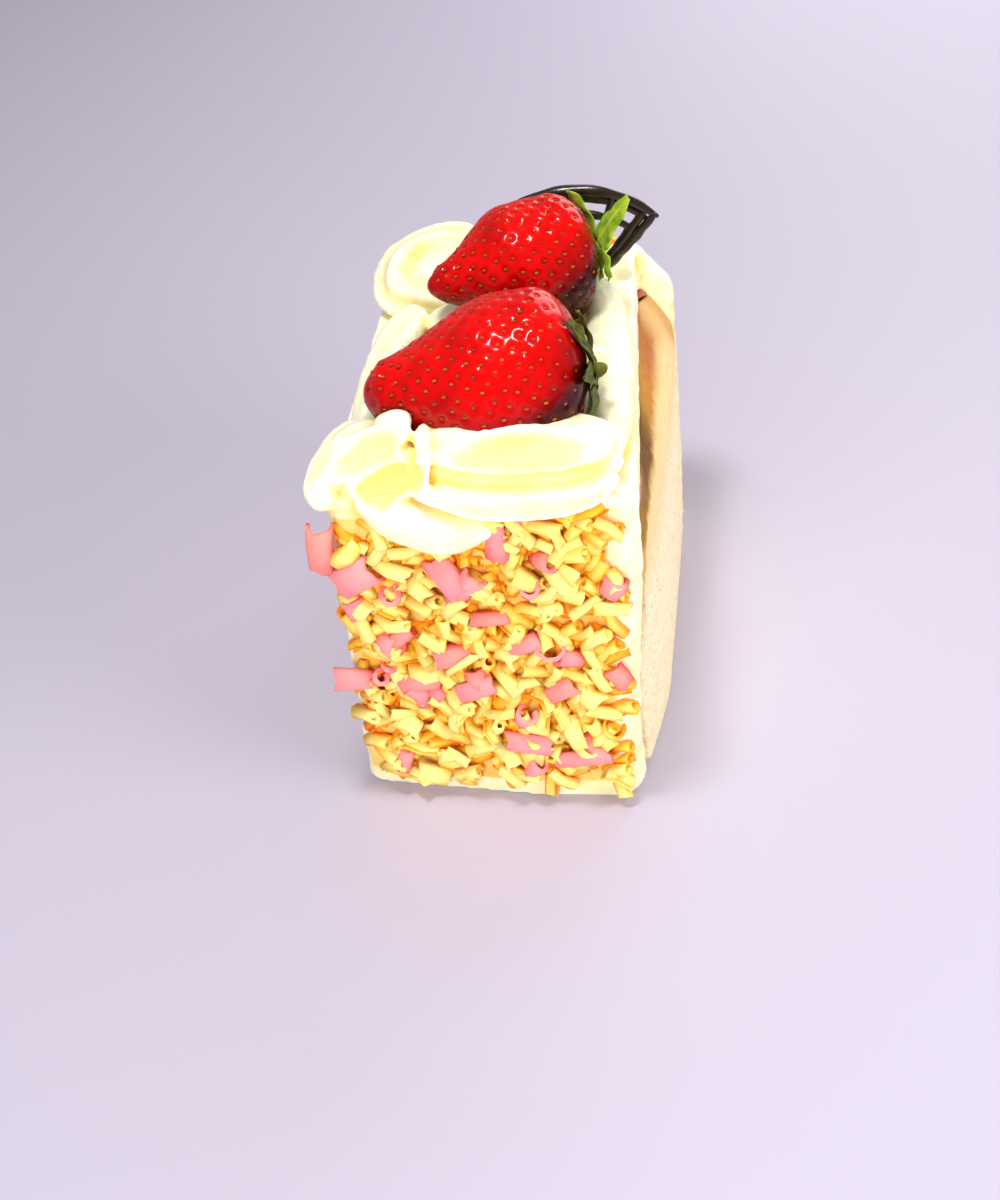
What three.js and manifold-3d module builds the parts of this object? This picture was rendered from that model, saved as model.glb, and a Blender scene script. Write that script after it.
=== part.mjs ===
// A slice of strawberry sponge gateau, cut across a long bar: a tall sponge block with a line
// of jam and piped whipped cream on top, and a cream coat stuck with rolled chocolate curls on
// each of its two ends. Two whole strawberries lie across it, and a piped chocolate fan stands
// in the cream behind them. Millimetres, +Z up, origin under the middle of the slice; the end
// with the curls that shows most faces -Y, and the two cut faces look along -X and +X.
import * as THREE from 'three';
import { mergeVertices } from 'three/addons/utils/BufferGeometryUtils.js';
import Module from 'manifold-3d';

const wasm = await Module();
wasm.setup();

// ---- driving dimensions ------------------------------------------------------------------
const HALF_DEPTH = 51; // centre of the slice to the face of each coated end
const COAT = 8; // thickness of the cream coat on an end
const SPONGE_TOP = 64.5;
const JAM_TOP = 66;
const CREAM_BASE_TOP = 75; // level spread cream that the piping sits on
const COAT_TOP = 73.4;
const CREAM_IN = 0.5; // how far the spread cream stays inside the cut faces
const GAP = 0.3; // clearance between pieces that touch
const CUT_ROUND = 4; // radius of the coat's upright outer corners
const ROUNDED_FROM = 48; // level from which the right cut face rounds in
const ROUNDED_HIGHER = 16; // how much higher that begins on the coated end at the back
const FINEST = 0.1; // detail between the curls that is smaller than this is merged away

// Each berry's blunt tip and leafy crown, its largest radius, the share of it just behind the
// tip, and the share of the length at which the full radius is reached
const FRONT_BERRY = {
  tip: [-24.1, -31.8, 87.2], crown: [20.8, -28, 89.9], radius: 17, neck: 0.41, fullAt: 0.62,
};
const BACK_BERRY = {
  tip: [-15.5, 3.4, 90.8], crown: [18.4, 18, 91.1], radius: 13.1, neck: 0.3, fullAt: 0.52,
};
const SHOULDER = 0.22; // share of the length over which the fruit closes at the crown

// Leaves of each berry: degrees round its axis from straight up, wrap, width and flare
const LEAF_THICK = 0.6;
const LEAF_CLEAR = 0.8;
const FRONT_LEAVES = [
  [12, 0.85, 4.2, 0.2], [62, 0.7, 4.2, 1.6], [118, 0.8, 4, 0.8], [200, 0.7, 4.4, 1],
  [300, 0.8, 4.4, 1],
];
const BACK_LEAVES = [
  [20, 0.62, 6, 9], [100, 0.75, 5, 1.5], [190, 0.7, 5, 1], [270, 0.8, 5, 1.5],
  [330, 1.05, 4.6, 0.8],
];

// Fan of piped chocolate: middle of its arcs, their radii, its spread in degrees from upright
const FAN = { x: 13.9, y: 31, z: 72.5, outer: 25.4, inner: 19.5, from: -50, to: 41 };
const STRAND = 1.15; // radius of a piped strand

const CURL_SHEET = 0.85; // thickness of a shaving
const CURL_PROUD = 1; // how far the curls stand out of the cream coat
const CURL_COLUMNS = 6;
const CURL_ROWS = 10;
const CURL_STEP_X = 9.6;
const CURL_STEP_Z = 7.1;
const FOOT_FLARE = 4; // how far the coat leans out at the foot, on its right half

// ---- numbers that look random but are the same on every run --------------------------------
const chance = (n) => {
  const s = Math.sin(n * 12.9898 + 4.1414) * 43758.5453;
  return s - Math.floor(s);
};
const between = (n, low, high) => low + (high - low) * chance(n);
const mix = (a, b, t) => a + (b - a) * t;
const clamp = (v, low, high) => Math.min(high, Math.max(low, v));
const smooth = (low, high, v) => {
  const t = clamp((v - low) / (high - low), 0, 1);
  return t * t * (3 - 2 * t);
};

// ---- the two cut faces: they narrow a little towards the back --------------------------------
// The right one is in a little at the front, and rounds in near its top and near its front foot.
const leftFace = (y) => mix(-31.5, -30, clamp((y + 45) / 97, 0, 1));
const rightFace = (y, z) => {
  const atTop = mix(30.9, 24.5, clamp((y + 45) / 97, 0, 1));
  const inFront = 2.2 * clamp((35 - y) / 85, 0, 1) ** 2.5 * mix(0.4, 1, smooth(0, 30, z));
  const roundFoot = 4.4 * clamp((-20 - y) / 33, 0, 1.2) ** 1.3 * (1 - smooth(0, SPONGE_TOP, z));
  const higher = ROUNDED_HIGHER * smooth(38, 48, y);
  const rounding = smooth(ROUNDED_FROM + higher, JAM_TOP + 0.7 * higher, z);
  return mix(32.8 - inFront - roundFoot, atTop, rounding);
};

// Face of a coated end: upright on the left, leaning out towards the foot on the right.
const frontFace = (x, z) => -HALF_DEPTH + CURL_PROUD
  - FOOT_FLARE * clamp((x + 31) / 35, 0, 1) * clamp(1 - z / CREAM_BASE_TOP, 0, 1);

// ---- geometry helpers -----------------------------------------------------------------------
function eachPoint(geometry, move) {
  const place = geometry.attributes.position;
  const point = new THREE.Vector3();
  for (let i = 0; i < place.count; i += 1) {
    point.fromBufferAttribute(place, i);
    move(point);
    place.setXYZ(i, point.x, point.y, point.z);
  }
  return geometry;
}

function solid(geometry) {
  geometry.deleteAttribute('normal');
  geometry.deleteAttribute('uv');
  const merged = mergeVertices(geometry, 1e-4);
  return new wasm.Manifold(new wasm.Mesh({
    numProp: 3,
    vertProperties: merged.attributes.position.array,
    triVerts: new Uint32Array(merged.index.array),
  }));
}

const joined = (solids) => solids.reduce((whole, next) => whole.add(next));
const without = (body, tools) => tools.reduce((left, tool) => left.subtract(tool), body);

// Scraps that a cut leaves loose, and hollows that a join seals, are dropped.
function largest(body) {
  return body.decompose().reduce((best, next) => (next.volume() > best.volume() ? next : best));
}

function geometryOf(body) {
  const mesh = body.getMesh();
  const geometry = new THREE.BufferGeometry();
  const xyz = new Float32Array(mesh.numVert * 3);
  for (let v = 0; v < mesh.numVert; v += 1) {
    for (let k = 0; k < 3; k += 1) xyz[v * 3 + k] = mesh.vertProperties[v * mesh.numProp + k];
  }
  geometry.setAttribute('position', new THREE.BufferAttribute(xyz, 3));
  geometry.setIndex(new THREE.BufferAttribute(new Uint32Array(mesh.triVerts), 1));
  return geometry;
}

// A closed body swept along a path: a ball's two poles become the ends and its rings the
// sections. section(t, angle) gives [sideways, upwards] from the path, in mm.
function swept(path, across, along, section) {
  const up = new THREE.Vector3(0, 0, 1);
  return eachPoint(new THREE.SphereGeometry(1, across, along), (p) => {
    const t = clamp((1 - p.y) / 2, 0, 1);
    const angle = Math.atan2(-p.z, p.x);
    const ahead = path.getTangentAt(t);
    const side = ahead.clone().cross(up).normalize();
    const rise = side.clone().cross(ahead);
    const [a, b] = section(t, angle);
    p.copy(path.getPointAt(t)).addScaledVector(side, a).addScaledVector(rise, b);
  });
}

const curveThrough = (points) => new THREE.CatmullRomCurve3(
  points.map(([x, y, z]) => new THREE.Vector3(x, y, z)),
);

// Radius of a body with round ends: full over the middle, zero at both tips.
const roundEnds = (t, bluntness) => Math.min(1, (4 * t * (1 - t)) ** bluntness);

// ---- sponge and jam -------------------------------------------------------------------------
function block(low, high, y0, y1, inset, steps) {
  const shape = new THREE.BoxGeometry(2, y1 - y0, high - low, ...steps);
  return solid(eachPoint(shape, (p) => {
    p.y += (y0 + y1) / 2;
    p.z += (low + high) / 2;
    const side = p.x;
    const sway = 0.35 * Math.sin(p.y * 0.31 + side) * Math.sin(p.z * 0.17 + 1);
    const edge = side > 0 ? rightFace(p.y, p.z) : -leftFace(p.y);
    p.x = side * (edge - inset) + sway * Math.abs(side);
  }));
}

const INNER_END = HALF_DEPTH - COAT - GAP;
const sponge = block(0, SPONGE_TOP, -INNER_END, INNER_END, 0, [2, 7, 7]);
const jam = block(SPONGE_TOP + GAP, JAM_TOP, -INNER_END, INNER_END, 0.9, [2, 7, 1]);

// ---- strawberries ---------------------------------------------------------------------------
// Share of the full radius, from the blunt tip (t = 0) along the narrow neck to the broad
// shoulders, which close over the crown (t = 1) as a quarter of an ellipse.
function berryRadius({ neck, fullAt }, t) {
  const cone = mix(neck, 1, smooth(0.03, fullAt, t));
  const tip = Math.min(1, (t / 0.09) ** 0.5);
  const shoulder = Math.sqrt(Math.max(0, 1 - clamp(1 - (1 - t) / SHOULDER, 0, 1) ** 2));
  return cone * tip * shoulder;
}

function axisOf({ tip, crown }) {
  const from = new THREE.Vector3(...tip);
  const to = new THREE.Vector3(...crown);
  return { from, to, length: from.distanceTo(to), ahead: to.clone().sub(from).normalize() };
}

function berry(fruit, grow = 0) {
  const { from, to, ahead } = axisOf(fruit);
  const path = new THREE.LineCurve3(
    from.addScaledVector(ahead, -grow),
    to.addScaledVector(ahead, grow),
  );
  return solid(swept(path, 18, 13, (t, angle) => {
    const out = t === 0 || t === 1 ? 0 : fruit.radius * berryRadius(fruit, t) + grow;
    const uneven = out * (1 + 0.03 * Math.sin(2 * angle + 5 * t));
    return [uneven * Math.cos(angle), uneven * Math.sin(angle)];
  }));
}

// ---- strawberry leaves ----------------------------------------------------------------------
// One pointed leaf, thin and wavy. It starts on the crown and wraps over the shoulder as an arc
// of an ellipse just off the fruit: spread is the way it points round the axis, wrap how far
// round the arc it goes, and flare how far its tip lifts off.
function leaf(fruit, [spread, wrap, width, flare], grow) {
  const { to, length, ahead } = axisOf(fruit);
  const outward = new THREE.Vector3(0, 0, 1).applyAxisAngle(ahead, THREE.MathUtils.degToRad(spread));
  const across = ahead.clone().cross(outward);
  const sheet = new THREE.BoxGeometry(1, 1, LEAF_THICK + 2 * grow, 3, 2, 1);
  return solid(eachPoint(sheet, (p) => {
    const s = p.x + 0.5;
    const turn = wrap * mix(-0.02, 1, s);
    const edge = 2 * p.y;
    const half = (0.1 + Math.sin(Math.PI * (0.12 + 0.84 * s)) ** 0.8) * width * 0.5 + grow;
    const wave = 0.3 * Math.sin(6 * s + spread) * edge + 0.5 * edge * edge;
    const lift = LEAF_CLEAR + wave + flare * s ** 2.5 + p.z;
    const deep = length * SHOULDER * (1 - Math.cos(turn));
    const place = to.clone().addScaledVector(ahead, lift * Math.cos(turn) - deep);
    place.addScaledVector(outward, (fruit.radius + lift) * Math.sin(turn));
    p.copy(place.addScaledVector(across, edge * half));
  }));
}

function calyx(fruit, leaves, grow = 0) {
  const { to, ahead } = axisOf(fruit);
  const middle = to.addScaledVector(ahead, LEAF_CLEAR + 0.8);
  const stalk = new THREE.SphereGeometry(2.2 + grow, 7, 4).translate(middle.x, middle.y, middle.z);
  return joined([solid(stalk), ...leaves.map((row) => leaf(fruit, row, grow))]);
}

// ---- chocolate fan --------------------------------------------------------------------------
const onFan = (radius, degrees, y = FAN.y) => {
  const a = THREE.MathUtils.degToRad(degrees);
  return [FAN.x + radius * Math.sin(a), y, FAN.z + radius * Math.cos(a)];
};

function strand(points, thick, along) {
  return solid(swept(curveThrough(points), 5, along, (t, angle) => {
    const r = thick * roundEnds(t, 0.3);
    return [r * Math.cos(angle), r * Math.sin(angle)];
  }));
}

// The arcs run a little past the legs at both ends.
function arc(radius, y) {
  const points = [];
  const past = 2.5;
  const step = (FAN.to - FAN.from + 2 * past) / 6;
  for (let k = 0; k <= 6; k += 1) points.push(onFan(radius, FAN.from - past + k * step, y));
  return points;
}

function chocolateFan(grow = 0) {
  const thick = STRAND + grow;
  const parts = [
    strand(arc(FAN.outer, FAN.y), thick * 1.1, 8),
    strand(arc(FAN.outer - 2, FAN.y + 0.4), thick * 0.9, 8),
    strand(arc(FAN.inner, FAN.y + 0.2), thick * 0.85, 7),
  ];
  const ribs = 4;
  for (let k = 0; k <= ribs; k += 1) {
    const degrees = mix(FAN.from, FAN.to, k / ribs);
    const leg = k === 0 || k === ribs;
    const reach = [onFan(2 + k, degrees, FAN.y - 0.3), onFan(FAN.outer + 0.5, degrees, FAN.y - 0.3)];
    parts.push(strand(reach, leg ? thick : thick * 0.8, 4));
    if (leg) {
      const inside = degrees - Math.sign(degrees) * 5;
      parts.push(strand([onFan(6, inside, FAN.y + 0.3), onFan(FAN.outer, inside)], thick, 4));
    }
  }
  return joined(parts);
}

// ---- whipped cream --------------------------------------------------------------------------
// Each rope of piping: the points it runs through, its half width and half height, and how many
// pleats the nozzle pressed into it, how deep and how twisted.
const ROPES = [
  { name: 'front ribbon', wide: 7.4, tall: 5.2, pleats: 4, deep: 0.08, twist: 0.5,
    through: [[-12.5, -42, 82.5], [0, -43.5, 83.5], [14, -43.5, 84], [27, -43, 83.8]] },
  { name: 'ribbon wall', wide: 4.5, tall: 5.5, pleats: 2, deep: 0.05, twist: 0,
    through: [[-15, -44, 79], [0, -44.8, 78.5], [14, -44.8, 78.5], [28, -44.5, 80]] },
  { name: 'front lip', wide: 4.6, tall: 2.2, pleats: 2, deep: 0.08, twist: 0,
    through: [[-13.5, -50, 77.6], [0, -51.8, 75.4], [12, -52, 75.4], [21, -51.5, 76.6], [27.5, -49.5, 80]] },
  { name: 'low lobe', wide: 3.8, tall: 5.5, pleats: 2, deep: 0.12, twist: 0.3,
    through: [[-25, -48.5, 75.5], [-15.5, -51, 70.5], [-6, -51.6, 69], [6, -50.5, 74]] },
  { name: 'left corner', wide: 4.4, tall: 5.2, pleats: 2, deep: 0.06, twist: 0.5,
    through: [[-30, -48, 71.5], [-31.2, -46.5, 76], [-29.5, -41, 80.5], [-26.5, -32, 80]] },
  { name: 'left slope', wide: 5, tall: 4.5, pleats: 2, deep: 0.06, twist: 0.5,
    through: [[-31, -46.5, 77], [-27, -43.5, 81.5], [-21, -38, 84.5]] },
  { name: 'left filling', wide: 7.8, tall: 7.2, pleats: 2, deep: 0.05, twist: 0,
    through: [[-28, -41, 77], [-20, -42, 79], [-11, -42, 80]] },
  { name: 'upper fold', wide: 2.6, tall: 2.8, pleats: 2, deep: 0.05, twist: 0,
    through: [[-27, -44.3, 83], [-20, -44.8, 85.8], [-12.8, -43.8, 86.6]] },
  { name: 'left rope', wide: 4.8, tall: 5.6, pleats: 4, deep: 0.1, twist: 1.2,
    through: [[-26.5, -30, 76], [-24.5, -20, 78], [-23, -10, 79], [-22, 4, 78.5], [-19.5, 14, 79]] },
  { name: 'middle rope', wide: 7, tall: 5.5, pleats: 4, deep: 0.12, twist: 1.5,
    through: [[-22, -9, 79.5], [-6, -8, 79.5], [10, -9, 79.5], [24, -9, 79]] },
  { name: 'right ridge', wide: 5.2, tall: 4.6, pleats: 2, deep: 0.06, twist: 0.5,
    through: [[24, -44, 78.5], [24, -28, 77.5], [22.5, -8, 77.5], [20.5, 12, 77.5], [18.5, 27, 78]] },
  { name: 'rosette ring', wide: 5.5, tall: 5.5, pleats: 5, deep: 0.15, twist: 2,
    through: [[-12, 18, 78], [-24, 20, 78.5], [-25, 33, 79], [-15, 40, 80], [-6, 33, 80]] },
  { name: 'rosette middle', wide: 6, tall: 5, pleats: 3, deep: 0.08, twist: 1,
    through: [[-22, 21, 79], [-15, 28, 80.5], [-8, 32, 80]] },
  { name: 'rosette top', wide: 4.5, tall: 4, pleats: 4, deep: 0.15, twist: 1.5,
    through: [[-21, 26, 80], [-18, 34, 81], [-8, 35, 81.5], [-7, 29, 80]] },
  { name: 'back ribbon', wide: 8, tall: 5, pleats: 4, deep: 0.12, twist: 1,
    through: [[-22, 43, 76.5], [-8, 44, 77], [8, 44, 77], [19, 42, 76.5]] },
  { name: 'berry bed', wide: 8, tall: 5, pleats: 3, deep: 0.08, twist: 1,
    through: [[-17, 6, 79], [0, 12, 79.5], [17, 18, 79.5]] },
  { name: 'fan bed', wide: 5.5, tall: 5, pleats: 2, deep: 0.1, twist: 1,
    through: [[-2, 31, 79], [8, 32, 79], [21, 31, 77.5]] },
];

function rope({ through, wide, tall, pleats, deep, twist }, grow = 0) {
  return solid(swept(curveThrough(through), 8, 6, (t, angle) => {
    const body = roundEnds(t, 0.38);
    const pleat = 1 + deep * Math.cos(pleats * (angle + twist * t));
    const a = (wide * pleat + grow) * body;
    const b = (tall * pleat + grow) * body;
    return [a * Math.cos(angle), b * Math.sin(angle)];
  }));
}

// A level of the spread cream under the piping: it stays a little inside the cut faces, where it
// can bulge, and its top can be tucked in. The upper level reaches out over both coats.
function creamLevel(low, high, reach, bulge, tuck) {
  const shape = new THREE.BoxGeometry(2, 2, high - low, 2, 7, 2);
  return solid(eachPoint(shape, (p) => {
    const share = p.z / (high - low) + 0.5;
    const z = mix(low, high, share);
    const y = p.y * reach;
    const edge = p.x > 0 ? rightFace(y, z) : -leftFace(y);
    p.set(p.x * (edge - CREAM_IN + bulge * Math.sin(Math.PI * share) - tuck * share ** 2), y, z);
  }));
}

// ---- rolled chocolate curls -----------------------------------------------------------------
// A wide shaving: a thin strip rolled part of a turn, or nearly flat. It lies along X.
function shaving(length, radius, turns) {
  const strip = new THREE.BoxGeometry(length, 1, CURL_SHEET, 1, turns > 0.5 ? 4 : 2, 1);
  return eachPoint(strip, (p) => {
    const s = p.y + 0.5;
    const angle = (s - 0.5) * turns * 2 * Math.PI + Math.PI / 2;
    const r = radius * (1 - 0.18 * s) - p.z;
    p.set(p.x * (1 - 0.12 * Math.cos(angle)), r * Math.cos(angle), r * Math.sin(angle));
  });
}

// A narrow shaving rolled up tight, a little thicker at one end.
const tightRoll = (length, radius) => new THREE.CylinderGeometry(radius, radius * 0.86, length, 5)
  .rotateZ(Math.PI / 2);

// Places a curl on the front end: spun on its own length, tilted out of the face and turned in it.
function onFront(curl, { x, z, turn, tilt, spin, out }) {
  const spot = new THREE.Matrix4().makeTranslation(x, frontFace(x, z) - out, z);
  const toFace = new THREE.Matrix4().makeRotationX(Math.PI / 2);
  const turned = new THREE.Matrix4().makeRotationZ(turn);
  const tilted = new THREE.Matrix4().makeRotationY(tilt);
  const spun = new THREE.Matrix4().makeRotationX(spin);
  return solid(curl.applyMatrix4(spot.multiply(toFace).multiply(turned).multiply(tilted).multiply(spun)));
}

// The pink curls that stand out: x, z, degrees turned in the face and tilted out of it, length,
// radius and turns rolled.
const PINK_CURLS = [
  [-32.5, 64.5, 85, 0, 10.5, 3.2, 0.42], [-26, 57.5, 30, 0, 8.5, 5, 0.3],
  [-19.6, 52.6, 90, -50, 4.5, 2.8, 0.9], [-7.6, 58.3, 125, 12, 9.5, 4, 0.35],
  [-4.2, 55.4, 50, -12, 8.5, 3.4, 0.4], [3.2, 67, 90, -10, 8, 2.9, 0.75],
  [8.6, 54.6, 80, -45, 5.5, 2.7, 0.9], [0, 47.6, 5, 0, 7, 1.8, 0.7],
  [-8, 37.6, 8, 10, 9.5, 3.2, 0.85], [11.6, 40.2, 75, -50, 5.5, 4.6, 0.75],
  [6.8, 41.2, 20, 0, 6, 2.4, 0.6], [-30.2, 30.5, -3, 0, 8, 3.6, 0.35],
  [-24.7, 30.9, 60, -40, 5, 2.2, 0.8], [-15.9, 30.4, 8, 0, 8.5, 2.8, 0.65],
  [-4.1, 30, 20, 0, 7.5, 3.6, 0.35], [13.5, 30, 30, 0, 6, 3, 0.4],
  [5.3, 22.1, 70, -35, 6.5, 2.8, 0.6], [5.7, 15.7, -8, 0, 10, 3, 0.35],
  [16.8, 12.6, 10, 0, 11, 3, 0.35], [6.4, 8.7, 60, -25, 6.5, 2.8, 0.65],
  [-21.7, 8.9, 75, 0, 6, 2.2, 0.6],
];

// Curls of an end. The mirrored end is narrower on its left, so its curls keep clear of that edge.
function curlsOnFront(seed, mirrored) {
  const curls = [];
  const taken = [];
  PINK_CURLS.forEach(([x, z, turn, tilt, length, radius, turns], k) => {
    const place = mirrored ? -0.8 * x : x;
    taken.push([place, z]);
    curls.push(onFront(shaving(length, radius, turns), {
      x: place, z, turn: THREE.MathUtils.degToRad(mirrored ? -turn : turn),
      tilt: THREE.MathUtils.degToRad(mirrored ? -tilt : tilt),
      spin: between(seed + 50 + k, -0.5, 0.5), out: 1.6 - radius * 0.45,
    }));
  });
  for (let k = 0; k < CURL_COLUMNS * CURL_ROWS; k += 1) {
    const n = seed + 100 + k * 5;
    const column = k % CURL_COLUMNS;
    const row = Math.floor(k / CURL_COLUMNS);
    const x = -27 + column * CURL_STEP_X + between(n, -1.4, 1.4) + (row % 2) * 4;
    const z = 4.8 + row * CURL_STEP_Z + between(n + 1, -1.1, 1.1);
    const crowded = taken.some(([a, b]) => Math.hypot(a - x, b - z) < 4);
    if (crowded || x > 25.5 || (mirrored && x < 6 - rightFace(HALF_DEPTH, z))) continue;
    curls.push(onFront(tightRoll(between(n + 3, 7, 9.5), between(n + 2, 1.7, 2.2)), {
      x, z, turn: between(n + 5, -1.2, 1.2), tilt: between(n + 6, -0.15, 0.15),
      spin: between(n + 7, -0.6, 0.6), out: between(n + 8, 0.4, 1.1),
    }));
  }
  return curls;
}

// Cream coat of an end, with its outer upright corners rounded, from the foot to the top cream.
function coatBody() {
  const half = 31;
  const face = -HALF_DEPTH + CURL_PROUD;
  const inner = -HALF_DEPTH + COAT;
  const outline = new THREE.Shape();
  outline.moveTo(-half, inner);
  outline.lineTo(-half, face + CUT_ROUND);
  outline.absarc(-half + CUT_ROUND, face + CUT_ROUND, CUT_ROUND, Math.PI, 1.5 * Math.PI);
  outline.absarc(half - CUT_ROUND, face + CUT_ROUND, CUT_ROUND, -0.5 * Math.PI, 0);
  outline.lineTo(half, inner);
  outline.closePath();
  return new THREE.ExtrudeGeometry(outline, {
    depth: COAT_TOP, steps: 6, bevelEnabled: false, curveSegments: 3,
  });
}

function coat(back, seed, tools) {
  const body = solid(eachPoint(coatBody(), (p) => {
    const depthShare = clamp((-HALF_DEPTH + COAT - p.y) / COAT, 0, 1);
    const y = back ? -p.y : p.y;
    const left = back ? -rightFace(y, p.z) : leftFace(y);
    const right = back ? -leftFace(y) : rightFace(y, p.z);
    p.x = mix(left, right, (p.x + 31) / 62);
    p.y += depthShare * (frontFace(p.x, p.z) - frontFace(-31, p.z));
  }));
  const dressed = largest(joined([body, ...curlsOnFront(seed, back)]));
  const wide = new THREE.BoxGeometry(90, 60, 20);
  const under = solid(wide.clone().translate(0, -HALF_DEPTH, -10));
  const over = solid(wide.clone().translate(0, -HALF_DEPTH, COAT_TOP + 10));
  const behind = solid(new THREE.BoxGeometry(90, 60, 200).translate(0, -HALF_DEPTH + COAT + 30, 40));
  const trimmed = without(dressed, [under, over, behind]);
  const placed = back ? trimmed.rotate([0, 0, 180]) : trimmed;
  return largest(without(placed, tools).simplify(FINEST));
}

// ---- the whole slice ------------------------------------------------------------------------
const berryTools = [berry(FRONT_BERRY, GAP), berry(BACK_BERRY, GAP)];
const frontBerry = berry(FRONT_BERRY);
const backBerry = berry(BACK_BERRY);
const leafTools = [calyx(FRONT_BERRY, FRONT_LEAVES, GAP), calyx(BACK_BERRY, BACK_LEAVES, GAP)];
const frontCalyx = largest(without(calyx(FRONT_BERRY, FRONT_LEAVES), berryTools));
const backCalyx = largest(without(calyx(BACK_BERRY, BACK_LEAVES), berryTools));
const fan = chocolateFan();
const coatTools = ROPES.map((row) => rope(row, GAP));
const ropes = ROPES.map((row) => rope(row));
const belowCream = new THREE.BoxGeometry(120, 2 * INNER_END, 40).translate(0, 0, JAM_TOP + GAP - 20);
const spread = [
  creamLevel(JAM_TOP + GAP, COAT_TOP + 0.5, INNER_END, 0.3, 0),
  creamLevel(COAT_TOP + GAP, CREAM_BASE_TOP, HALF_DEPTH - 3, 0, 1.5),
];
const cream = largest(without(
  joined([...spread, ...ropes]),
  [solid(belowCream), ...berryTools, ...leafTools, chocolateFan(GAP)],
));

const MATERIALS = {
  sponge: new THREE.MeshStandardMaterial({ color: 0xf7dc9a, roughness: 0.9, metalness: 0 }),
  jam: new THREE.MeshStandardMaterial({ color: 0xa3301c, roughness: 0.35, metalness: 0 }),
  cream: new THREE.MeshStandardMaterial({ color: 0xfff9e6, roughness: 0.5, metalness: 0 }),
  curls: new THREE.MeshStandardMaterial({ color: 0xffe184, roughness: 0.5, metalness: 0 }),
  strawberry: new THREE.MeshStandardMaterial({ color: 0xd8120f, roughness: 0.3, metalness: 0 }),
  leaf: new THREE.MeshStandardMaterial({ color: 0x6f8f2c, roughness: 0.6, metalness: 0 }),
  chocolate: new THREE.MeshStandardMaterial({ color: 0x2a140d, roughness: 0.35, metalness: 0 }),
};

const slice = new THREE.Group();

function add(parent, name, body, material) {
  const mesh = new THREE.Mesh(geometryOf(body), material);
  mesh.name = name;
  parent.add(mesh);
  return mesh;
}

const cake = new THREE.Group();
add(cake, 'sponge', sponge, MATERIALS.sponge);
add(cake, 'jam', jam, MATERIALS.jam);
add(cake, 'cream_top', cream, MATERIALS.cream);
add(cake, 'coat_front', coat(false, 11, coatTools), MATERIALS.curls);
add(cake, 'coat_back', coat(true, 611, coatTools), MATERIALS.curls);

const toppings = new THREE.Group();
add(toppings, 'strawberry_front', frontBerry, MATERIALS.strawberry);
add(toppings, 'strawberry_back', backBerry, MATERIALS.strawberry);
add(toppings, 'calyx_front', frontCalyx, MATERIALS.leaf);
add(toppings, 'calyx_back', backCalyx, MATERIALS.leaf);
add(toppings, 'chocolate_fan', fan, MATERIALS.chocolate);

slice.add(cake, toppings);

export default slice;
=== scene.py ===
# %% [markdown]
# # A slice of strawberry sponge gateau
# The real slice was cut across a long bar of cake: a block of sponge, a line of jam, whipped
# cream on top and over both ends, curls of yellow and pink chocolate pressed into the ends, and
# two whole strawberries with a fan of piped chocolate. The imported model gives every piece its
# place, so the lesson starts by loading it.

# %% Load the frame
import math

import bpy
import numpy as np
from mathutils import Matrix


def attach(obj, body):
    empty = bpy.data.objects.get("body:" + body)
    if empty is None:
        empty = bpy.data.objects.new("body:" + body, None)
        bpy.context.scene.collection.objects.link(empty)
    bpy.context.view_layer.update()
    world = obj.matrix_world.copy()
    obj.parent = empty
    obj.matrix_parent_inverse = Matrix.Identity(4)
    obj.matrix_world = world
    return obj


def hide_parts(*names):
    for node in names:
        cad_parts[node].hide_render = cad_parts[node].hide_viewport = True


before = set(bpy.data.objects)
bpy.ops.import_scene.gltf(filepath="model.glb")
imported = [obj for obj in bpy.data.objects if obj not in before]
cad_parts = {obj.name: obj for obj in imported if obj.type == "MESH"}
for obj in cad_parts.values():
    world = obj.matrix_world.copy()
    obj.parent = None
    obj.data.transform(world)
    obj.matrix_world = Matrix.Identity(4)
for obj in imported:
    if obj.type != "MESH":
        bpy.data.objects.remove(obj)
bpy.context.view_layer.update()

MM = 0.001
print("nodes:", ", ".join(sorted(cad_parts)))

# %% [markdown]
# ## Camera
# The camera stands in front of the coated end, a little to its right, and looks down on the
# slice. Its place and angles are those that make the slice's edges fall where the photograph
# has them: it is turned to the left, tipped down and rolled a little. Building the matrix from
# those three angles keeps each of them a number that can be read and changed.

# %% Camera
CAMERA_PLACE = (64.7, -401.8, 330.9)
CAMERA_TURN = math.radians(10.13)
CAMERA_DOWN = math.radians(38.18)
CAMERA_ROLL = math.radians(-6.46)
CAMERA_LENS = 67.8
SENSOR_WIDTH = 36.0
UP = np.array([0.0, 0.0, 1.0])


def unit(v):
    """Vectors brought to length 1."""
    return v / np.linalg.norm(v, axis=-1, keepdims=True)


def camera_axes(turn, down, roll):
    """Right, up and back: forward from the two angles, right and up turned by the roll."""
    level = math.cos(down)
    forward = np.array([-math.sin(turn) * level, math.cos(turn) * level, -math.sin(down)])
    right = unit(np.cross(forward, UP))
    up = np.cross(right, forward)
    rolled_right = right * math.cos(roll) + up * math.sin(roll)
    rolled_up = up * math.cos(roll) - right * math.sin(roll)
    return rolled_right, rolled_up, -forward


def new_object(name, data, axes=np.eye(3), place=(0.0, 0.0, 0.0)):
    """An object for its data, its X, Y and Z axes along the given ways, at a place in millimetres."""
    made = bpy.data.objects.new(name, data)
    turned = np.eye(4)
    turned[:3, :3] = np.transpose(axes)
    turned[:3, 3] = np.array(place) * MM
    made.matrix_world = Matrix(turned.tolist())
    bpy.context.scene.collection.objects.link(made)
    return made


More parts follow.
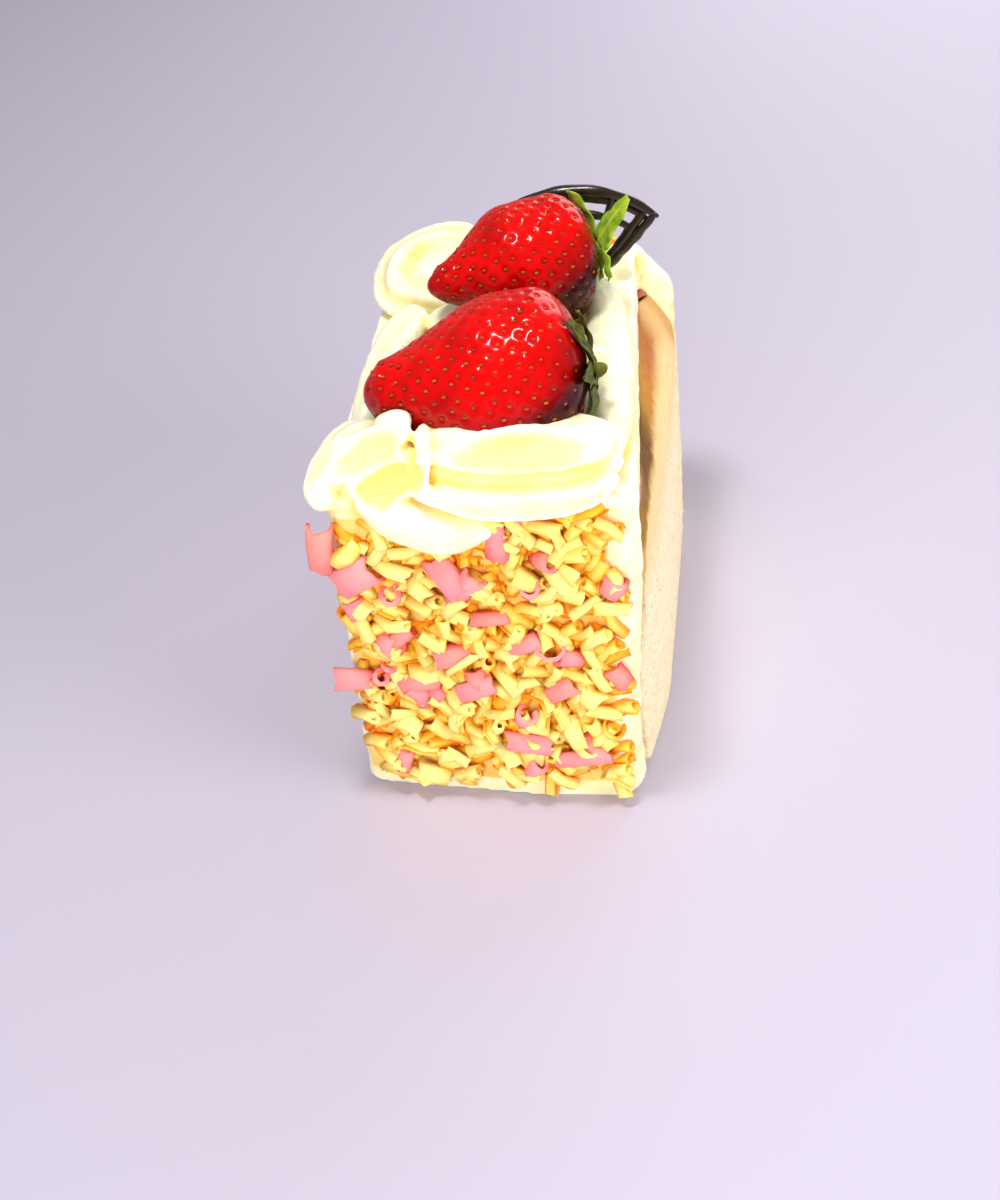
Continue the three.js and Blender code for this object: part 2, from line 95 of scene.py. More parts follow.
camera_data = bpy.data.cameras.new("camera")
camera_data.lens = CAMERA_LENS
camera_data.sensor_width = SENSOR_WIDTH
camera_data.clip_start = 10 * MM
axes = camera_axes(CAMERA_TURN, CAMERA_DOWN, CAMERA_ROLL)
bpy.context.scene.camera = new_object("camera", camera_data, axes, CAMERA_PLACE)
print("camera looks along", (-axes[2]).round(3))

# %% [markdown]
# ## Floor and light
# Soft food wants soft light: a key light from above, a little to the left, wider ones from the
# right, the front and behind, and a pale surround. Wet fruit mirrors every lamp, and too many of
# them would lay a haze over its red, so only the key and the back light show in glossy skins.
# The picture is bright enough for the cream to reach white, and the Standard view keeps reds and
# yellows as strong as they are on the real slice.

# %% Floor and light
FLOOR_HALF = 1500.0
FLOOR_COLOUR = (0.50, 0.46, 0.58, 1.0)
FLOOR_ROUGHNESS = 0.6
SURROUND_COLOUR = (1.0, 0.98, 0.96, 1.0)
SURROUND_STRENGTH = 0.32
MIDDLE = np.array([0.0, 0.0, 50.0])
# place, size, power, colour, and whether glossy skins show the light
LIGHTS = {
    "key_light": ((-60, -80, 570), 100, 1.8, (1.0, 0.985, 0.95), True),
    "side_light": ((420, -200, 260), 300, 1.8, (1.0, 0.99, 0.97), False),
    "front_light": ((-100, -540, 170), 320, 2.1, (1.0, 0.99, 0.97), False),
    "back_light": ((160, 500, 260), 400, 1.5, (1.0, 0.99, 0.98), True),
}


def add_area_light(name, place, size, power, colour, shines):
    """A square light whose -Z axis faces the slice's middle."""
    data = bpy.data.lights.new(name, "AREA")
    data.size = size * MM
    data.energy = power
    data.color = colour
    away = unit(np.array(place) - MIDDLE)
    side = unit(np.cross(UP, away))
    light = new_object(name, data, (side, np.cross(away, side), away), place)
    light.visible_glossy = shines


for name, row in LIGHTS.items():
    add_area_light(name, *row)
world = bpy.data.worlds.new("studio")
world.use_nodes = True
surround = world.node_tree.nodes["Background"]
surround.inputs["Color"].default_value = SURROUND_COLOUR
surround.inputs["Strength"].default_value = SURROUND_STRENGTH
bpy.context.scene.world = world
bpy.context.scene.view_settings.view_transform = "Standard"
bpy.context.scene.view_settings.look = "None"

floor_mesh = bpy.data.meshes.new("floor")
corners = [(-1, -1, 0), (1, -1, 0), (1, 1, 0), (-1, 1, 0)]
floor_mesh.from_pydata([tuple(FLOOR_HALF * MM * v for v in c) for c in corners], [], [(0, 1, 2, 3)])
floor = new_object("floor", floor_mesh)
floor_look = bpy.data.materials.new("pale_floor")
floor_look.use_nodes = True
floor_shader = floor_look.node_tree.nodes["Principled BSDF"]
floor_shader.inputs["Base Color"].default_value = FLOOR_COLOUR
floor_shader.inputs["Roughness"].default_value = FLOOR_ROUGHNESS
floor_mesh.materials.append(floor_look)
print("floor and", len(bpy.data.lights), "lights")

# %% [markdown]
# ## Sizes of the slice
# The same few dimensions as the frame's: two cut faces that lean a little, two coated ends, and
# the levels of sponge, jam and cream. Everything else is worked out from them, in millimetres.

# %% Sizes
HALF_DEPTH = 51.0
HALF_WIDTH = 31.0
COAT = 8.0
SPONGE_TOP = 64.5
JAM_TOP = 66.0
CREAM_BASE_TOP = 75.0
COAT_TOP = 73.4
GAP = 0.3
INNER_END = HALF_DEPTH - COAT - GAP
LEFT_FRONT = -31.5
LEFT_LEAN = 1.5
RIGHT_TOP = 30.9
RIGHT_LEAN = 6.4
RIGHT_FOOT = 32.8
RIGHT_FRONT_IN = 2.2
FRONT_FOOT_IN = 4.4
ROUNDED_FROM = 48.0
ROUNDED_HIGHER = 16.0
FOOT_FLARE = 4.0


def eased(low, high, v):
    """0 below low and 1 above high, with a smooth 3 t^2 - 2 t^3 between."""
    t = np.clip((v - low) / (high - low), 0, 1)
    return t * t * (3 - 2 * t)


def way_back(y):
    """0 near the front end and 1 at the back end, straight between."""
    return np.clip((y + 45) / 97, 0, 1)


def left_face(y):
    """x of the left cut face: a straight line that comes in towards the back."""
    return LEFT_FRONT + LEFT_LEAN * way_back(y)


def right_face(y, z):
    """x of the right cut face: in at the front and near the foot there, and rounded in at the top."""
    at_top = RIGHT_TOP - RIGHT_LEAN * way_back(y)
    in_front = RIGHT_FRONT_IN * np.clip((35 - y) / 85, 0, 1) ** 2.5 * (0.4 + 0.6 * eased(0, 30, z))
    round_foot = FRONT_FOOT_IN * np.clip((-20 - y) / 33, 0, 1.2) ** 1.3 * (1 - eased(0, SPONGE_TOP, z))
    at_foot = RIGHT_FOOT - in_front - round_foot
    higher = ROUNDED_HIGHER * eased(38, 48, y)
    return at_foot + (at_top - at_foot) * eased(ROUNDED_FROM + higher, JAM_TOP + 0.7 * higher, z)


def front_face(x, z):
    """y of the cream coat: upright on the left, leaning out towards the foot on the right."""
    lean = np.clip((x + HALF_WIDTH) / 35, 0, 1) * np.clip(1 - z / CREAM_BASE_TOP, 0, 1)
    return -HALF_DEPTH + 1 - FOOT_FLARE * lean


print("right cut face at the top:", right_face(np.array([-45.0, 52.0]), JAM_TOP))

# %% [markdown]
# ## Shape tools
# Each piece is a grid of points worked out as whole arrays, and its faces are the grid's cells.
# These helpers number the cells, put points and faces into a mesh object, turn a shape the right
# way out, and give smooth noise. A sum of sines would repeat too plainly for food, so the noise
# takes its values from a sine with its head cut off, which looks random and never changes.

# %% Shape tools
LATTICE_WAY = np.array([12.9898, 78.233, 37.719])


def hashed(v):
    """Numbers from 0 to 1 that look random and are the same each time: the end of a large sine."""
    large = np.sin(v) * 43758.5453
    return large - np.floor(large)


def noise(points, size, seed=0.0):
    """Smooth noise from -1 to 1: hashed values on a lattice of the given size, eased between."""
    scaled = np.asarray(points, float) / size
    cell = np.floor(scaled)
    ease = (scaled - cell) ** 2 * (3 - 2 * (scaled - cell))
    total = 0.0
    for corner in range(8):
        step = np.array([(corner >> k) & 1 for k in range(3)], float)
        weight = np.prod(np.where(step == 1, ease, 1 - ease), axis=-1)
        total = total + weight * hashed((cell + step) @ LATTICE_WAY + seed * 7.13)
    return 2 * total - 1


def full_turn(count):
    """Angles evenly spaced round a circle."""
    return np.linspace(0, 2 * math.pi, count, endpoint=False)


def closer_at_ends(count):
    """Shares from 0 to 1, closer together near both: (1 - cos) / 2."""
    return (1 - np.cos(np.linspace(0, math.pi, count + 2)[1:-1])) / 2


def run_along(line):
    """How far along a line of points each one is."""
    return np.concatenate([[0], np.cumsum(np.linalg.norm(np.diff(line, axis=0), axis=1))])


def at_run(want, run, rows):
    """The rows that lie at the wanted runs, by interpolating each column."""
    return np.stack([np.interp(want, run, column) for column in rows.T], -1)


def grid_cells(rows, columns, closed):
    """Four point numbers for each cell of a grid, wrapped round its columns where closed."""
    last = columns if closed else columns - 1
    i, j = np.meshgrid(np.arange(rows - 1), np.arange(last), indexing="ij")
    k = (j + 1) % columns
    corners = [i * columns + j, i * columns + k, (i + 1) * columns + k, (i + 1) * columns + j]
    return np.stack(corners, axis=-1).reshape(-1, 4)


def close_ends(rings):
    """A tube of rings with a pole at each end: its points, quads and triangles."""
    rows, columns = rings.shape[:2]
    points = np.vstack([rings.reshape(-1, 3), rings[0].mean(0), rings[-1].mean(0)])
    j = np.arange(columns)
    k = (j + 1) % columns
    first, last = rows * columns, rows * columns + 1
    base = (rows - 1) * columns
    low = np.stack([k, j, np.full(columns, first)], -1)
    high = np.stack([base + j, base + k, np.full(columns, last)], -1)
    return points, grid_cells(rows, columns, True), np.vstack([low, high])


def outward(points, quads, triangles):
    """The same shape, turned inside out if its volume, the sum of its corner products, is below 0."""
    split = np.vstack([quads[:, [0, 1, 2]], quads[:, [0, 2, 3]], triangles])
    a, b, c = (points[split[:, n]] for n in range(3))
    if np.einsum("ij,ij->i", a, np.cross(b, c)).sum() < 0:
        return points, quads[:, ::-1], triangles[:, ::-1]
    return points, quads, triangles


def joined(shapes):
    """Several shapes as one set of points, quads and triangles."""
    points, quads, triangles, start = [], [], [], 0
    for p, q, t in shapes:
        points.append(p)
        quads.append(q + start)
        triangles.append(t + start)
        start += len(p)
    return np.vstack(points), np.vstack(quads), np.vstack(triangles)


def keep_values(mesh, title, column):
    """One value on each point, for the material to read."""
    layer = mesh.attributes.new(title, "FLOAT", "POINT")
    layer.data.foreach_set("value", column.astype(np.float32))


def add_piece(name, shape, material, slot=None, replaces=(), values=None, flat=None):
    """A mesh object from millimetre points: rides the slice and stands for the nodes it replaces."""
    points, quads, triangles = shape
    mesh = bpy.data.meshes.new(name)
    mesh.vertices.add(len(points))
    mesh.vertices.foreach_set("co", (points * MM).ravel())
    corner = np.concatenate([quads.ravel(), triangles.ravel()])
    count = np.concatenate([np.full(len(quads), 4), np.full(len(triangles), 3)])
    mesh.loops.add(len(corner))
    mesh.loops.foreach_set("vertex_index", corner)
    mesh.polygons.add(len(count))
    mesh.polygons.foreach_set("loop_start", np.concatenate([[0], np.cumsum(count)[:-1]]))
    mesh.polygons.foreach_set("loop_total", count)
    mesh.polygons.foreach_set("use_smooth", np.ones(len(count), bool) if flat is None else ~flat)
    mesh.update(calc_edges=True)
    for title, column in (values or {}).items():
        keep_values(mesh, title, column)
    mesh.materials.append(material)
    piece = new_object(name, mesh)
    if slot:
        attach(piece, "root")
        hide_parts(*replaces)
        print(f"{name}: {len(points)} points, {len(count)} faces")
    return piece


print("noise check:", noise([[1.0, 2.0, 3.0]], 2.0).round(3))

# %% [markdown]
# ## Swept bodies
# Piped cream, a strawberry, a strand of chocolate: each is a section carried along a path, thin
# at both ends. The path is a smooth curve through a few points, and each ring is set square to it
# with its width level, so that a rope never twists by itself.

# %% Swept bodies
def path_at(through, share):
    """Place and direction on a smooth cubic through the points, by share of its length."""
    knots = np.array(through, float)
    held = np.vstack([2 * knots[0] - knots[1], knots, 2 * knots[-1] - knots[-2]])
    u = np.linspace(0, len(knots) - 1, 400)
    i = np.minimum(u.astype(int), len(knots) - 2)
    f = (u - i)[:, None]
    a, b, c, d = held[i], held[i + 1], held[i + 2], held[i + 3]
    square, cube = 2 * a - 5 * b + 4 * c - d, 3 * b - a - 3 * c + d
    dense = 0.5 * (2 * b + (c - a) * f + square * f**2 + cube * f**3)
    run = run_along(dense)
    want = np.asarray(share) * run[-1]
    return at_run(want, run, dense), unit(at_run(want, run, np.gradient(dense, axis=0)))


def swept(through, section, along, around):
    """Rings square to a path; section(t, angle) gives each point's way sideways and upwards."""
    t = closer_at_ends(along)
    place, ahead = path_at(through, t)
    side = unit(np.cross(ahead, UP))
    rise = np.cross(side, ahead)
    across, lift = section(t[:, None], full_turn(around)[None, :])
    rings = place[:, None] + across[..., None] * side[:, None] + lift[..., None] * rise[:, None]
    points, quads, triangles = close_ends(rings)
    points[-2:] = path_at(through, [0.0, 1.0])[0]
    return outward(points, quads, triangles)


def oval(wide, tall, angle):
    """A point of an oval by its angle: sideways and upwards."""
    return wide * np.cos(angle), tall * np.sin(angle)


def round_ends(t, bluntness):
    """1 over the middle of a body and 0 at its tips: (4 t (1 - t)) to a small power."""
    return np.minimum(1, (4 * t * (1 - t)) ** bluntness)


knee = path_at([(0, 0, 0), (10, 0, 0), (10, 10, 0)], [0.5])
print("a path's middle and direction:", knee[0].round(2), knee[1].round(2))

# %% [markdown]
# ## Materials
# Food looks right when light sinks in a little, so cream, chocolate curls and fruit all have some
# subsurface scattering. What changes over a piece comes from values kept on its points: painted
# shade and light, by how hollow a place is, how it faces and how deep it lies, and a number that
# differs from curl to curl. Fixed numbers go straight on the shader's sockets.

# %% Material tools
def new_material(name, roughness, sinking=0.0, radius=(1, 1, 1), depth=1.0, coat=0.0, coat_rough=0.1,
                 shine=0.5):
    """A material that light sinks into by depth in millimetres, with its node tree and shader."""
    look = bpy.data.materials.new(name)
    look.use_nodes = True
    shader = look.node_tree.nodes["Principled BSDF"]
    shader.inputs["Roughness"].default_value = roughness
    shader.inputs["Subsurface Weight"].default_value = sinking
    shader.inputs["Subsurface Radius"].default_value = radius
    shader.inputs["Subsurface Scale"].default_value = depth * MM
    shader.inputs["Coat Weight"].default_value = coat
    shader.inputs["Coat Roughness"].default_value = coat_rough
    shader.inputs["Specular IOR Level"].default_value = shine
    return look, look.node_tree, shader


def value_of(tree, title):
    """The output of a value kept on the points."""
    node = tree.nodes.new("ShaderNodeAttribute")
    node.attribute_name = title
    return node.outputs["Fac"]


def pattern(tree, kind, size, detail=3.0):
    """Noise or cells in the object's own millimetres, as a grey value."""
    place = tree.nodes.new("ShaderNodeTexCoord").outputs["Object"]
    node = tree.nodes.new("ShaderNodeTexNoise" if kind == "noise" else "ShaderNodeTexVoronoi")
    node.inputs["Scale"].default_value = 1 / (size * MM)
    tree.links.new(place, node.inputs["Vector"])
    if kind == "noise":
        node.inputs["Detail"].default_value = detail
        return node.outputs["Fac"]
    return node.outputs["Distance"]


def ramp(tree, value, stops):
    """Colours at places along a grey value."""
    node = tree.nodes.new("ShaderNodeValToRGB")
    tree.links.new(value, node.inputs["Fac"])
    marks = node.color_ramp.elements
    while len(marks) < len(stops):
        marks.new(0.5)
    for mark, (place, colour) in zip(marks, stops):
        mark.position = place
        mark.color = (*colour, 1.0)
    return node.outputs["Color"]


def blend(tree, share, first, second, mode="MIX"):
    """Two colours mixed by a share; each may be an output or a fixed colour."""
    node = tree.nodes.new("ShaderNodeMix")
    node.data_type = "RGBA"
    node.blend_type = mode
    for socket, given in ((node.inputs[0], share), (node.inputs[6], first), (node.inputs[7], second)):
        if isinstance(given, bpy.types.NodeSocket):
            tree.links.new(given, socket)
        elif isinstance(given, tuple):
            socket.default_value = (*given, 1.0)
        else:
            socket.default_value = given
    return node.outputs[2]


def finished(look, tree, shader, colour, grain, depth, detail=3.0):
    """The material with its colour joined on, and fine relief in its shading, in millimetres."""
    tree.links.new(colour, shader.inputs["Base Color"])
    relief = tree.nodes.new("ShaderNodeBump")
    relief.inputs["Distance"].default_value = depth * MM
    tree.links.new(pattern(tree, "noise", grain, detail), relief.inputs["Height"])
    tree.links.new(relief.outputs["Normal"], shader.inputs["Normal"])
    return look


# %% Materials
WHITE = (1.0, 1.0, 1.0)


def cream_material():
    """White with painted shade: yellow to orange by the painted_shade value kept on each point."""
    look, tree, shader = new_material("whipped_cream", 0.42, 0.35, (1.0, 0.75, 0.4), 1.5)
    body = ramp(tree, value_of(tree, "painted_shade"), [
        (0.0, (0.98, 0.94, 0.78)), (0.18, (0.98, 0.92, 0.64)), (0.38, (0.98, 0.87, 0.45)),
        (0.62, (0.97, 0.77, 0.26)), (1.0, (0.92, 0.53, 0.09)),
    ])
    patches = ramp(tree, pattern(tree, "noise", 9.0), [(0.35, WHITE), (0.7, (1.0, 0.97, 0.80))])
    return finished(look, tree, shader, blend(tree, 1.0, body, patches, "MULTIPLY"), 1.1, 0.12)


def curl_material(name, dark, middle, pale):
    """Shaved chocolate with painted light and shade: orange where a curl lies deep, pale where it stands out
    and faces up, and a number of its own.
    """
    look, tree, shader = new_material(name, 0.38, 0.3, (1.0, 0.5, 0.15), 1.2)
    body = ramp(tree, value_of(tree, "depth"), [(0.0, dark), (0.5, middle), (1.0, pale)])
    own = ramp(tree, value_of(tree, "own"), [(0.0, (1.0, 0.93, 0.75)), (0.5, WHITE)])
    return finished(look, tree, shader, blend(tree, 1.0, body, own, "MULTIPLY"), 0.5, 0.06)


def sponge_material():
    """Pale crumb with darker pores, soaked brown to crimson at the top edge, peach below it."""
    look, tree, shader = new_material("sponge_crumb", 0.85, 0.1, (1.0, 0.7, 0.4))
    pores = ramp(tree, pattern(tree, "cells", 1.3), [
        (0.0, (0.78, 0.46, 0.20)), (0.3, (0.97, 0.79, 0.50)), (1.0, (1.0, 0.88, 0.66)),
    ])
    peach = blend(tree, value_of(tree, "peach"), pores, (0.97, 0.63, 0.26))
    brown = ramp(tree, value_of(tree, "tone"), [
        (0.0, (0.14, 0.05, 0.015)), (0.45, (0.34, 0.18, 0.02)), (0.7, (0.62, 0.27, 0.035)),
        (1.0, (0.42, 0.05, 0.055)),
    ])
    crust = blend(tree, value_of(tree, "crust"), peach, brown)
    return finished(look, tree, shader, crust, 0.6, 0.35, 5.0)


def jam_material():
    """Dark red jam with paler, thinner places."""
    look, tree, shader = new_material("jam", 0.2, 0.2, (1.0, 0.2, 0.1), coat=0.6)
    body = ramp(tree, pattern(tree, "noise", 6.0), [
        (0.3, (0.16, 0.03, 0.005)), (0.5, (0.42, 0.04, 0.02)), (0.72, (0.75, 0.32, 0.06)),
    ])
    return finished(look, tree, shader, body, 1.4, 0.2)


def berry_material():
    """Bright red skin under a clear coat, with painted shade: darker in the dimples where the seeds sit, and
    nearly black low down and by the crown.
    """
    look, tree, shader = new_material("strawberry_skin", 0.32, 0.05, (1.0, 0.1, 0.05),
                                      coat=0.4, coat_rough=0.08, shine=0.05)
    body = ramp(tree, pattern(tree, "noise", 7.0), [
        (0.3, (0.46, 0.0, 0.0)), (0.55, (0.70, 0.0, 0.0)), (0.8, (0.86, 0.003, 0.001)),
    ])
    # painted shade in the seed dimples, then painted shade low down and by the crown
    pits = blend(tree, value_of(tree, "pit"), body, (0.30, 0.0, 0.0))
    low = blend(tree, value_of(tree, "low"), pits, (0.035, 0.0, 0.0))
    return finished(look, tree, shader, low, 0.8, 0.05)


def leaf_material(name, dark, pale):
    """A leaf: two colours in patches, and the pale one along its vein."""
    look, tree, shader = new_material(name, 0.5, 0.1, (0.4, 1.0, 0.2), 0.8, shine=0.2)
    body = ramp(tree, pattern(tree, "noise", 2.5), [(0.3, dark), (0.7, pale)])
    return finished(look, tree, shader, blend(tree, value_of(tree, "vein"), body, pale), 0.7, 0.1)


def chocolate_material():
    """Dark chocolate with a soft gloss."""
    look, tree, shader = new_material("dark_chocolate", 0.3, coat=0.3)
    body = ramp(tree, pattern(tree, "noise", 3.0), [
        (0.3, (0.007, 0.003, 0.002)), (0.75, (0.03, 0.011, 0.006)),
    ])
    return finished(look, tree, shader, body, 0.9, 0.08)


CREAM = cream_material()
# dark, middle and pale: the curls' painted shade, middle tone and painted light
YELLOW = curl_material("yellow_chocolate", (1.0, 0.22, 0.001), (1.0, 0.52, 0.026), (1.0, 0.84, 0.27))
PINK = curl_material("pink_chocolate", (0.45, 0.015, 0.012), (0.88, 0.12, 0.11), (1.0, 0.31, 0.32))
SPONGE = sponge_material()
JAM = jam_material()
BERRY = berry_material()
SEED = leaf_material("strawberry_seed", (0.20, 0.008, 0.003), (0.52, 0.12, 0.015))
DARK_LEAF = leaf_material("dark_leaf", (0.003, 0.004, 0.001), (0.13, 0.14, 0.014))
BRIGHT_LEAF = leaf_material("bright_leaf", (0.12, 0.28, 0.01), (0.50, 0.65, 0.06))
CHOCOLATE = chocolate_material()
print(len(bpy.data.materials), "materials")

# %% [markdown]
# ## Sponge
# The sponge is baked in one tall block, and the knife leaves its crumb open on the two cut
# faces. It is made as a loop round the block carried from foot to top, with pores pressed in
# along each point's own way out. A flat box with a bump would lose its pores at the edges.

# %% Sponge
def loop_round(y0, y1, corner, count):
    """Points and outward ways round a rectangle with rounded corners, evenly spaced."""
    quarter = np.linspace(0, math.pi / 2, 24)
    places, ways = [], []
    for n, (right, back) in enumerate([(1, 1), (-1, 1), (-1, -1), (1, -1)]):
        angle = quarter + n * math.pi / 2
        way = np.stack([np.cos(angle), np.sin(angle)], -1)
        centre = [right * (HALF_WIDTH - corner), (y1 if back > 0 else y0) - back * corner]
        places.append(centre + corner * way)
        ways.append(way)
    place, way = (np.vstack([*rows, rows[0][:1]]) for rows in (places, ways))
    run = run_along(place)
    want = np.linspace(0, run[-1], count, endpoint=False)
    return at_run(want, run, place), at_run(want, run, way)


def upright_block(y0, y1, levels, corner, count, inset=0.0):
    """A loop carried up through the levels, its x stretched between the two cut faces."""
    loop, way = loop_round(y0, y1, corner, count)
    z = np.asarray(levels, float)[:, None]
    x, y = loop[None, :, 0], loop[None, :, 1] + 0 * z
    left, right = left_face(y) + inset, right_face(y, z) - inset
    rings = np.stack([left + (x + HALF_WIDTH) / (2 * HALF_WIDTH) * (right - left), y, z + 0 * x], -1)
    return rings, way[None]


def sponge_shape():
    """The block with pores: pits where the noise is high, fading out at its foot and top."""
    middle_levels = np.linspace(0.9, SPONGE_TOP - 0.6, 110)
    levels = np.concatenate([[0.0, 0.4], middle_levels, [SPONGE_TOP - 0.2, SPONGE_TOP]])
    rings, way = upright_block(-INNER_END, INNER_END, levels, 0.8, 460)
    coarse, fine = noise(rings, 2.6, 1), noise(rings, 1.1, 2)
    pits = np.clip(fine - 0.1, 0, 1) ** 1.5 * 1.3 + np.clip(coarse - 0.35, 0, 1) * 0.9
    fade = np.minimum(1, np.minimum(levels, SPONGE_TOP - levels) / 1.5)[:, None]
    rings[..., :2] += way * ((0.25 * noise(rings, 9.0, 3) - pits) * fade)[..., None]
    return outward(*close_ends(rings))


# y along the slice, and the tone of the brown edge there
TONE_AT = [
    (-43, 0.5), (-28, 0.35), (-20, 0.1), (-8, 0.12), (0, 0.6), (12, 0.7), (20, 0.8), (32, 0.8), (42, 0.6),
]
block = sponge_shape()
_, along, height = block[0].T
uneven = 0.8 * noise(block[0], 6.0, 4)
top_brown = eased(SPONGE_TOP - 10.5, SPONGE_TOP - 6.0, height + 1.5 * uneven)
top_brown = top_brown * (1 - 0.8 * eased(30, 42, along))
end_brown = eased(INNER_END - 3.0, INNER_END - 1.0, np.abs(along) + 0.4 * uneven)
add_piece("sponge_block", block, SPONGE, "sponge", ["sponge"], {
    "crust": np.maximum(top_brown, end_brown * (0.6 * eased(20, 60, height))),
    "peach": eased(SPONGE_TOP - 30, SPONGE_TOP - 8, height) * 0.85,
    "tone": np.interp(along + uneven, *zip(*TONE_AT)),
})

# %% [markdown]
# ## Jam
# A thin line of jam lies between sponge and cream and shows at both cut faces. It is the same
# loop, much lower, with an edge that runs in and out where the knife dragged it.

# %% Jam
def jam_shape():
    """A thin block whose edge bulges in the middle and wanders by smooth noise."""
    levels = [SPONGE_TOP + 0.05, SPONGE_TOP + 0.2, JAM_TOP - 0.8, JAM_TOP - 0.2, JAM_TOP + 0.25]
    rings, way = upright_block(-INNER_END, INNER_END, levels, 0.6, 420, inset=0.5)
    belly = np.array([-0.35, 0.1, 0.3, 0.1, -0.35])[:, None]
    wander = noise(rings * [1, 1, 0.2], 5.0, 8)
    rings[..., :2] += way * (belly + 0.55 * wander)[..., None]
    return outward(*close_ends(rings))


add_piece("jam_line", jam_shape(), JAM, "jam", ["jam"])

# %% [markdown]
# ## Whipped cream
# All the cream is one soft mass: a spread layer, ropes of piping, and a coat down each end. Each
# part is a swept body or an upright block, and a voxel remesh joins them, because a grid can't
# follow cream that folds over itself. Smoothing then lets the joins sag together, scoops are
# pressed in where the nozzle and the knife left them, and each point keeps how hollow its place
# is, for the painted shade in the folds.

# %% Cream ropes
# wide, tall, pleats, how deep, how twisted, and the points each rope runs through
ROPES = {
    "front ribbon": (7.4, 5.2, 4, 0.08, 0.5,
                     [(-12.5, -42, 82.5), (0, -43.5, 83.5), (14, -43.5, 84), (27, -43, 83.8)]),
    "ribbon wall": (4.5, 5.5, 2, 0.05, 0.0,
                    [(-15, -44, 79), (0, -44.8, 78.5), (14, -44.8, 78.5), (28, -44.5, 80)]),
    "front lip": (4.6, 2.2, 2, 0.08, 0.0,
                  [(-13.5, -50, 77.6), (0, -51.8, 75.4), (12, -52, 75.4), (21, -51.5, 76.6),
                   (27.5, -49.5, 80)]),
    "low lobe": (3.8, 5.5, 2, 0.12, 0.3,
                 [(-25, -48.5, 75.5), (-15.5, -51, 70.5), (-6, -51.6, 69), (6, -50.5, 74)]),
    "left corner": (4.4, 5.2, 2, 0.06, 0.5,
                    [(-30, -48, 71.5), (-31.4, -46.5, 75.5), (-27.5, -40, 79.5), (-25.5, -32, 79.5)]),
    "left slope": (5, 4.5, 2, 0.06, 0.5, [(-30.8, -47, 76.5), (-26.2, -44, 81), (-20, -38, 84.5)]),
    "left filling": (7.8, 7.2, 2, 0.05, 0.0, [(-28, -41, 77), (-20, -42, 79), (-11, -42, 80)]),
    "pocket floor": (4.5, 4.5, 2, 0.05, 0.0, [(-28, -46, 75.5), (-20, -47.3, 77), (-11, -48, 78.5)]),
    "upper fold": (2.6, 2.8, 2, 0.05, 0.0, [(-27, -44.3, 83), (-20, -44.8, 85.8), (-12.8, -43.8, 86.6)]),
    "front peak": (2.2, 2.6, 2, 0.08, 0.0, [(-20.5, -41, 86), (-16, -42, 88.2), (-14, -40, 87)]),
    "ridge fold": (3.4, 3.2, 2, 0.05, 0.0, [(-13.2, -46.5, 82), (-18.5, -48, 80), (-26, -49, 76.8)]),
    "ribbon end": (2.0, 2.0, 2, 0.05, 0.0,
                   [(-10.6, -41.5, 87.2), (-10.9, -48.3, 84), (-11, -51.3, 79.5), (-9, -52.4, 77)]),
    "left rope": (4.8, 5.6, 4, 0.10, 1.2,
                  [(-26.5, -30, 76), (-24.5, -20, 78), (-23, -10, 79), (-22, 4, 78.5), (-19.5, 14, 79)]),
    "middle rope": (7, 5.5, 4, 0.12, 1.5, [(-22, -9, 79.5), (-6, -8, 79.5), (10, -9, 79.5), (24, -9, 79)]),
    "right ridge": (5.2, 4.6, 2, 0.06, 0.5,
                    [(24, -44, 78.5), (24, -28, 77.5), (22.5, -8, 77.5), (20.5, 12, 77.5), (18.5, 27, 78)]),
    "rosette ring": (5.5, 5.5, 5, 0.15, 2.0,
                     [(-12, 18, 78), (-24, 20, 78.5), (-25, 33, 79), (-15, 40, 80), (-6, 33, 80)]),
    "rosette middle": (6, 5, 3, 0.08, 1.0, [(-22, 21, 79), (-15, 28, 80.5), (-8, 32, 80)]),
    "rosette top": (4.5, 4, 4, 0.15, 1.5, [(-21, 26, 80), (-18, 34, 81), (-8, 35, 81.5), (-7, 29, 80)]),
    "back ribbon": (8, 5, 4, 0.12, 1.0, [(-22, 43, 76.5), (-8, 44, 77), (8, 44, 77), (19, 42, 76.5)]),
    "berry bed": (8, 5, 3, 0.08, 1.0, [(-17, 6, 79), (0, 12, 79.5), (17, 18, 79.5)]),
    "fan bed": (5.5, 5, 2, 0.10, 1.0, [(-2, 31, 79), (8, 32, 79), (21, 31, 77.5)]),
}

# where the nozzle and the knife left shallow scoops in the front of the cream: middle, the way
# it faces, the way it runs, half its length and width, how deep it is, and how much yellow painted
# shade it gets
SCOOPS = {
    "upper facet": ((-19.4, -48.3, 82.3), (-0.17, -0.70, 0.69), (1.0, 0.1, 0.3), 7.5, 3.6, 0.8, 0.14),
    "pocket": ((-17.5, -49.0, 79.6), (0.0, -0.98, 0.15), (0.85, 0.1, 0.45), 5.5, 3.0, 1.6, 0.30),
    "crease": ((-12.9, -47.6, 83.4), (-0.25, -0.75, 0.6), (0.0, -0.6, -0.8), 6.5, 1.0, 1.3, 0.10),
    "slope": ((-31.0, -45.2, 82.0), (-0.62, -0.42, 0.66), (-0.5, -0.5, -0.7), 9.0, 4.5, 0.5, 0.0),
    "ribbon face": ((10.5, -50.2, 82.0), (0.0, -0.85, 0.5), (1.0, 0.0, 0.02), 18.0, 6.0, 0.7, 0.16),
}
# how far a scoop reaches, in shares of its own half size, and how high above it cream is pressed
SCOOP_REACH = 2
SCOOP_HEIGHT = 6.0


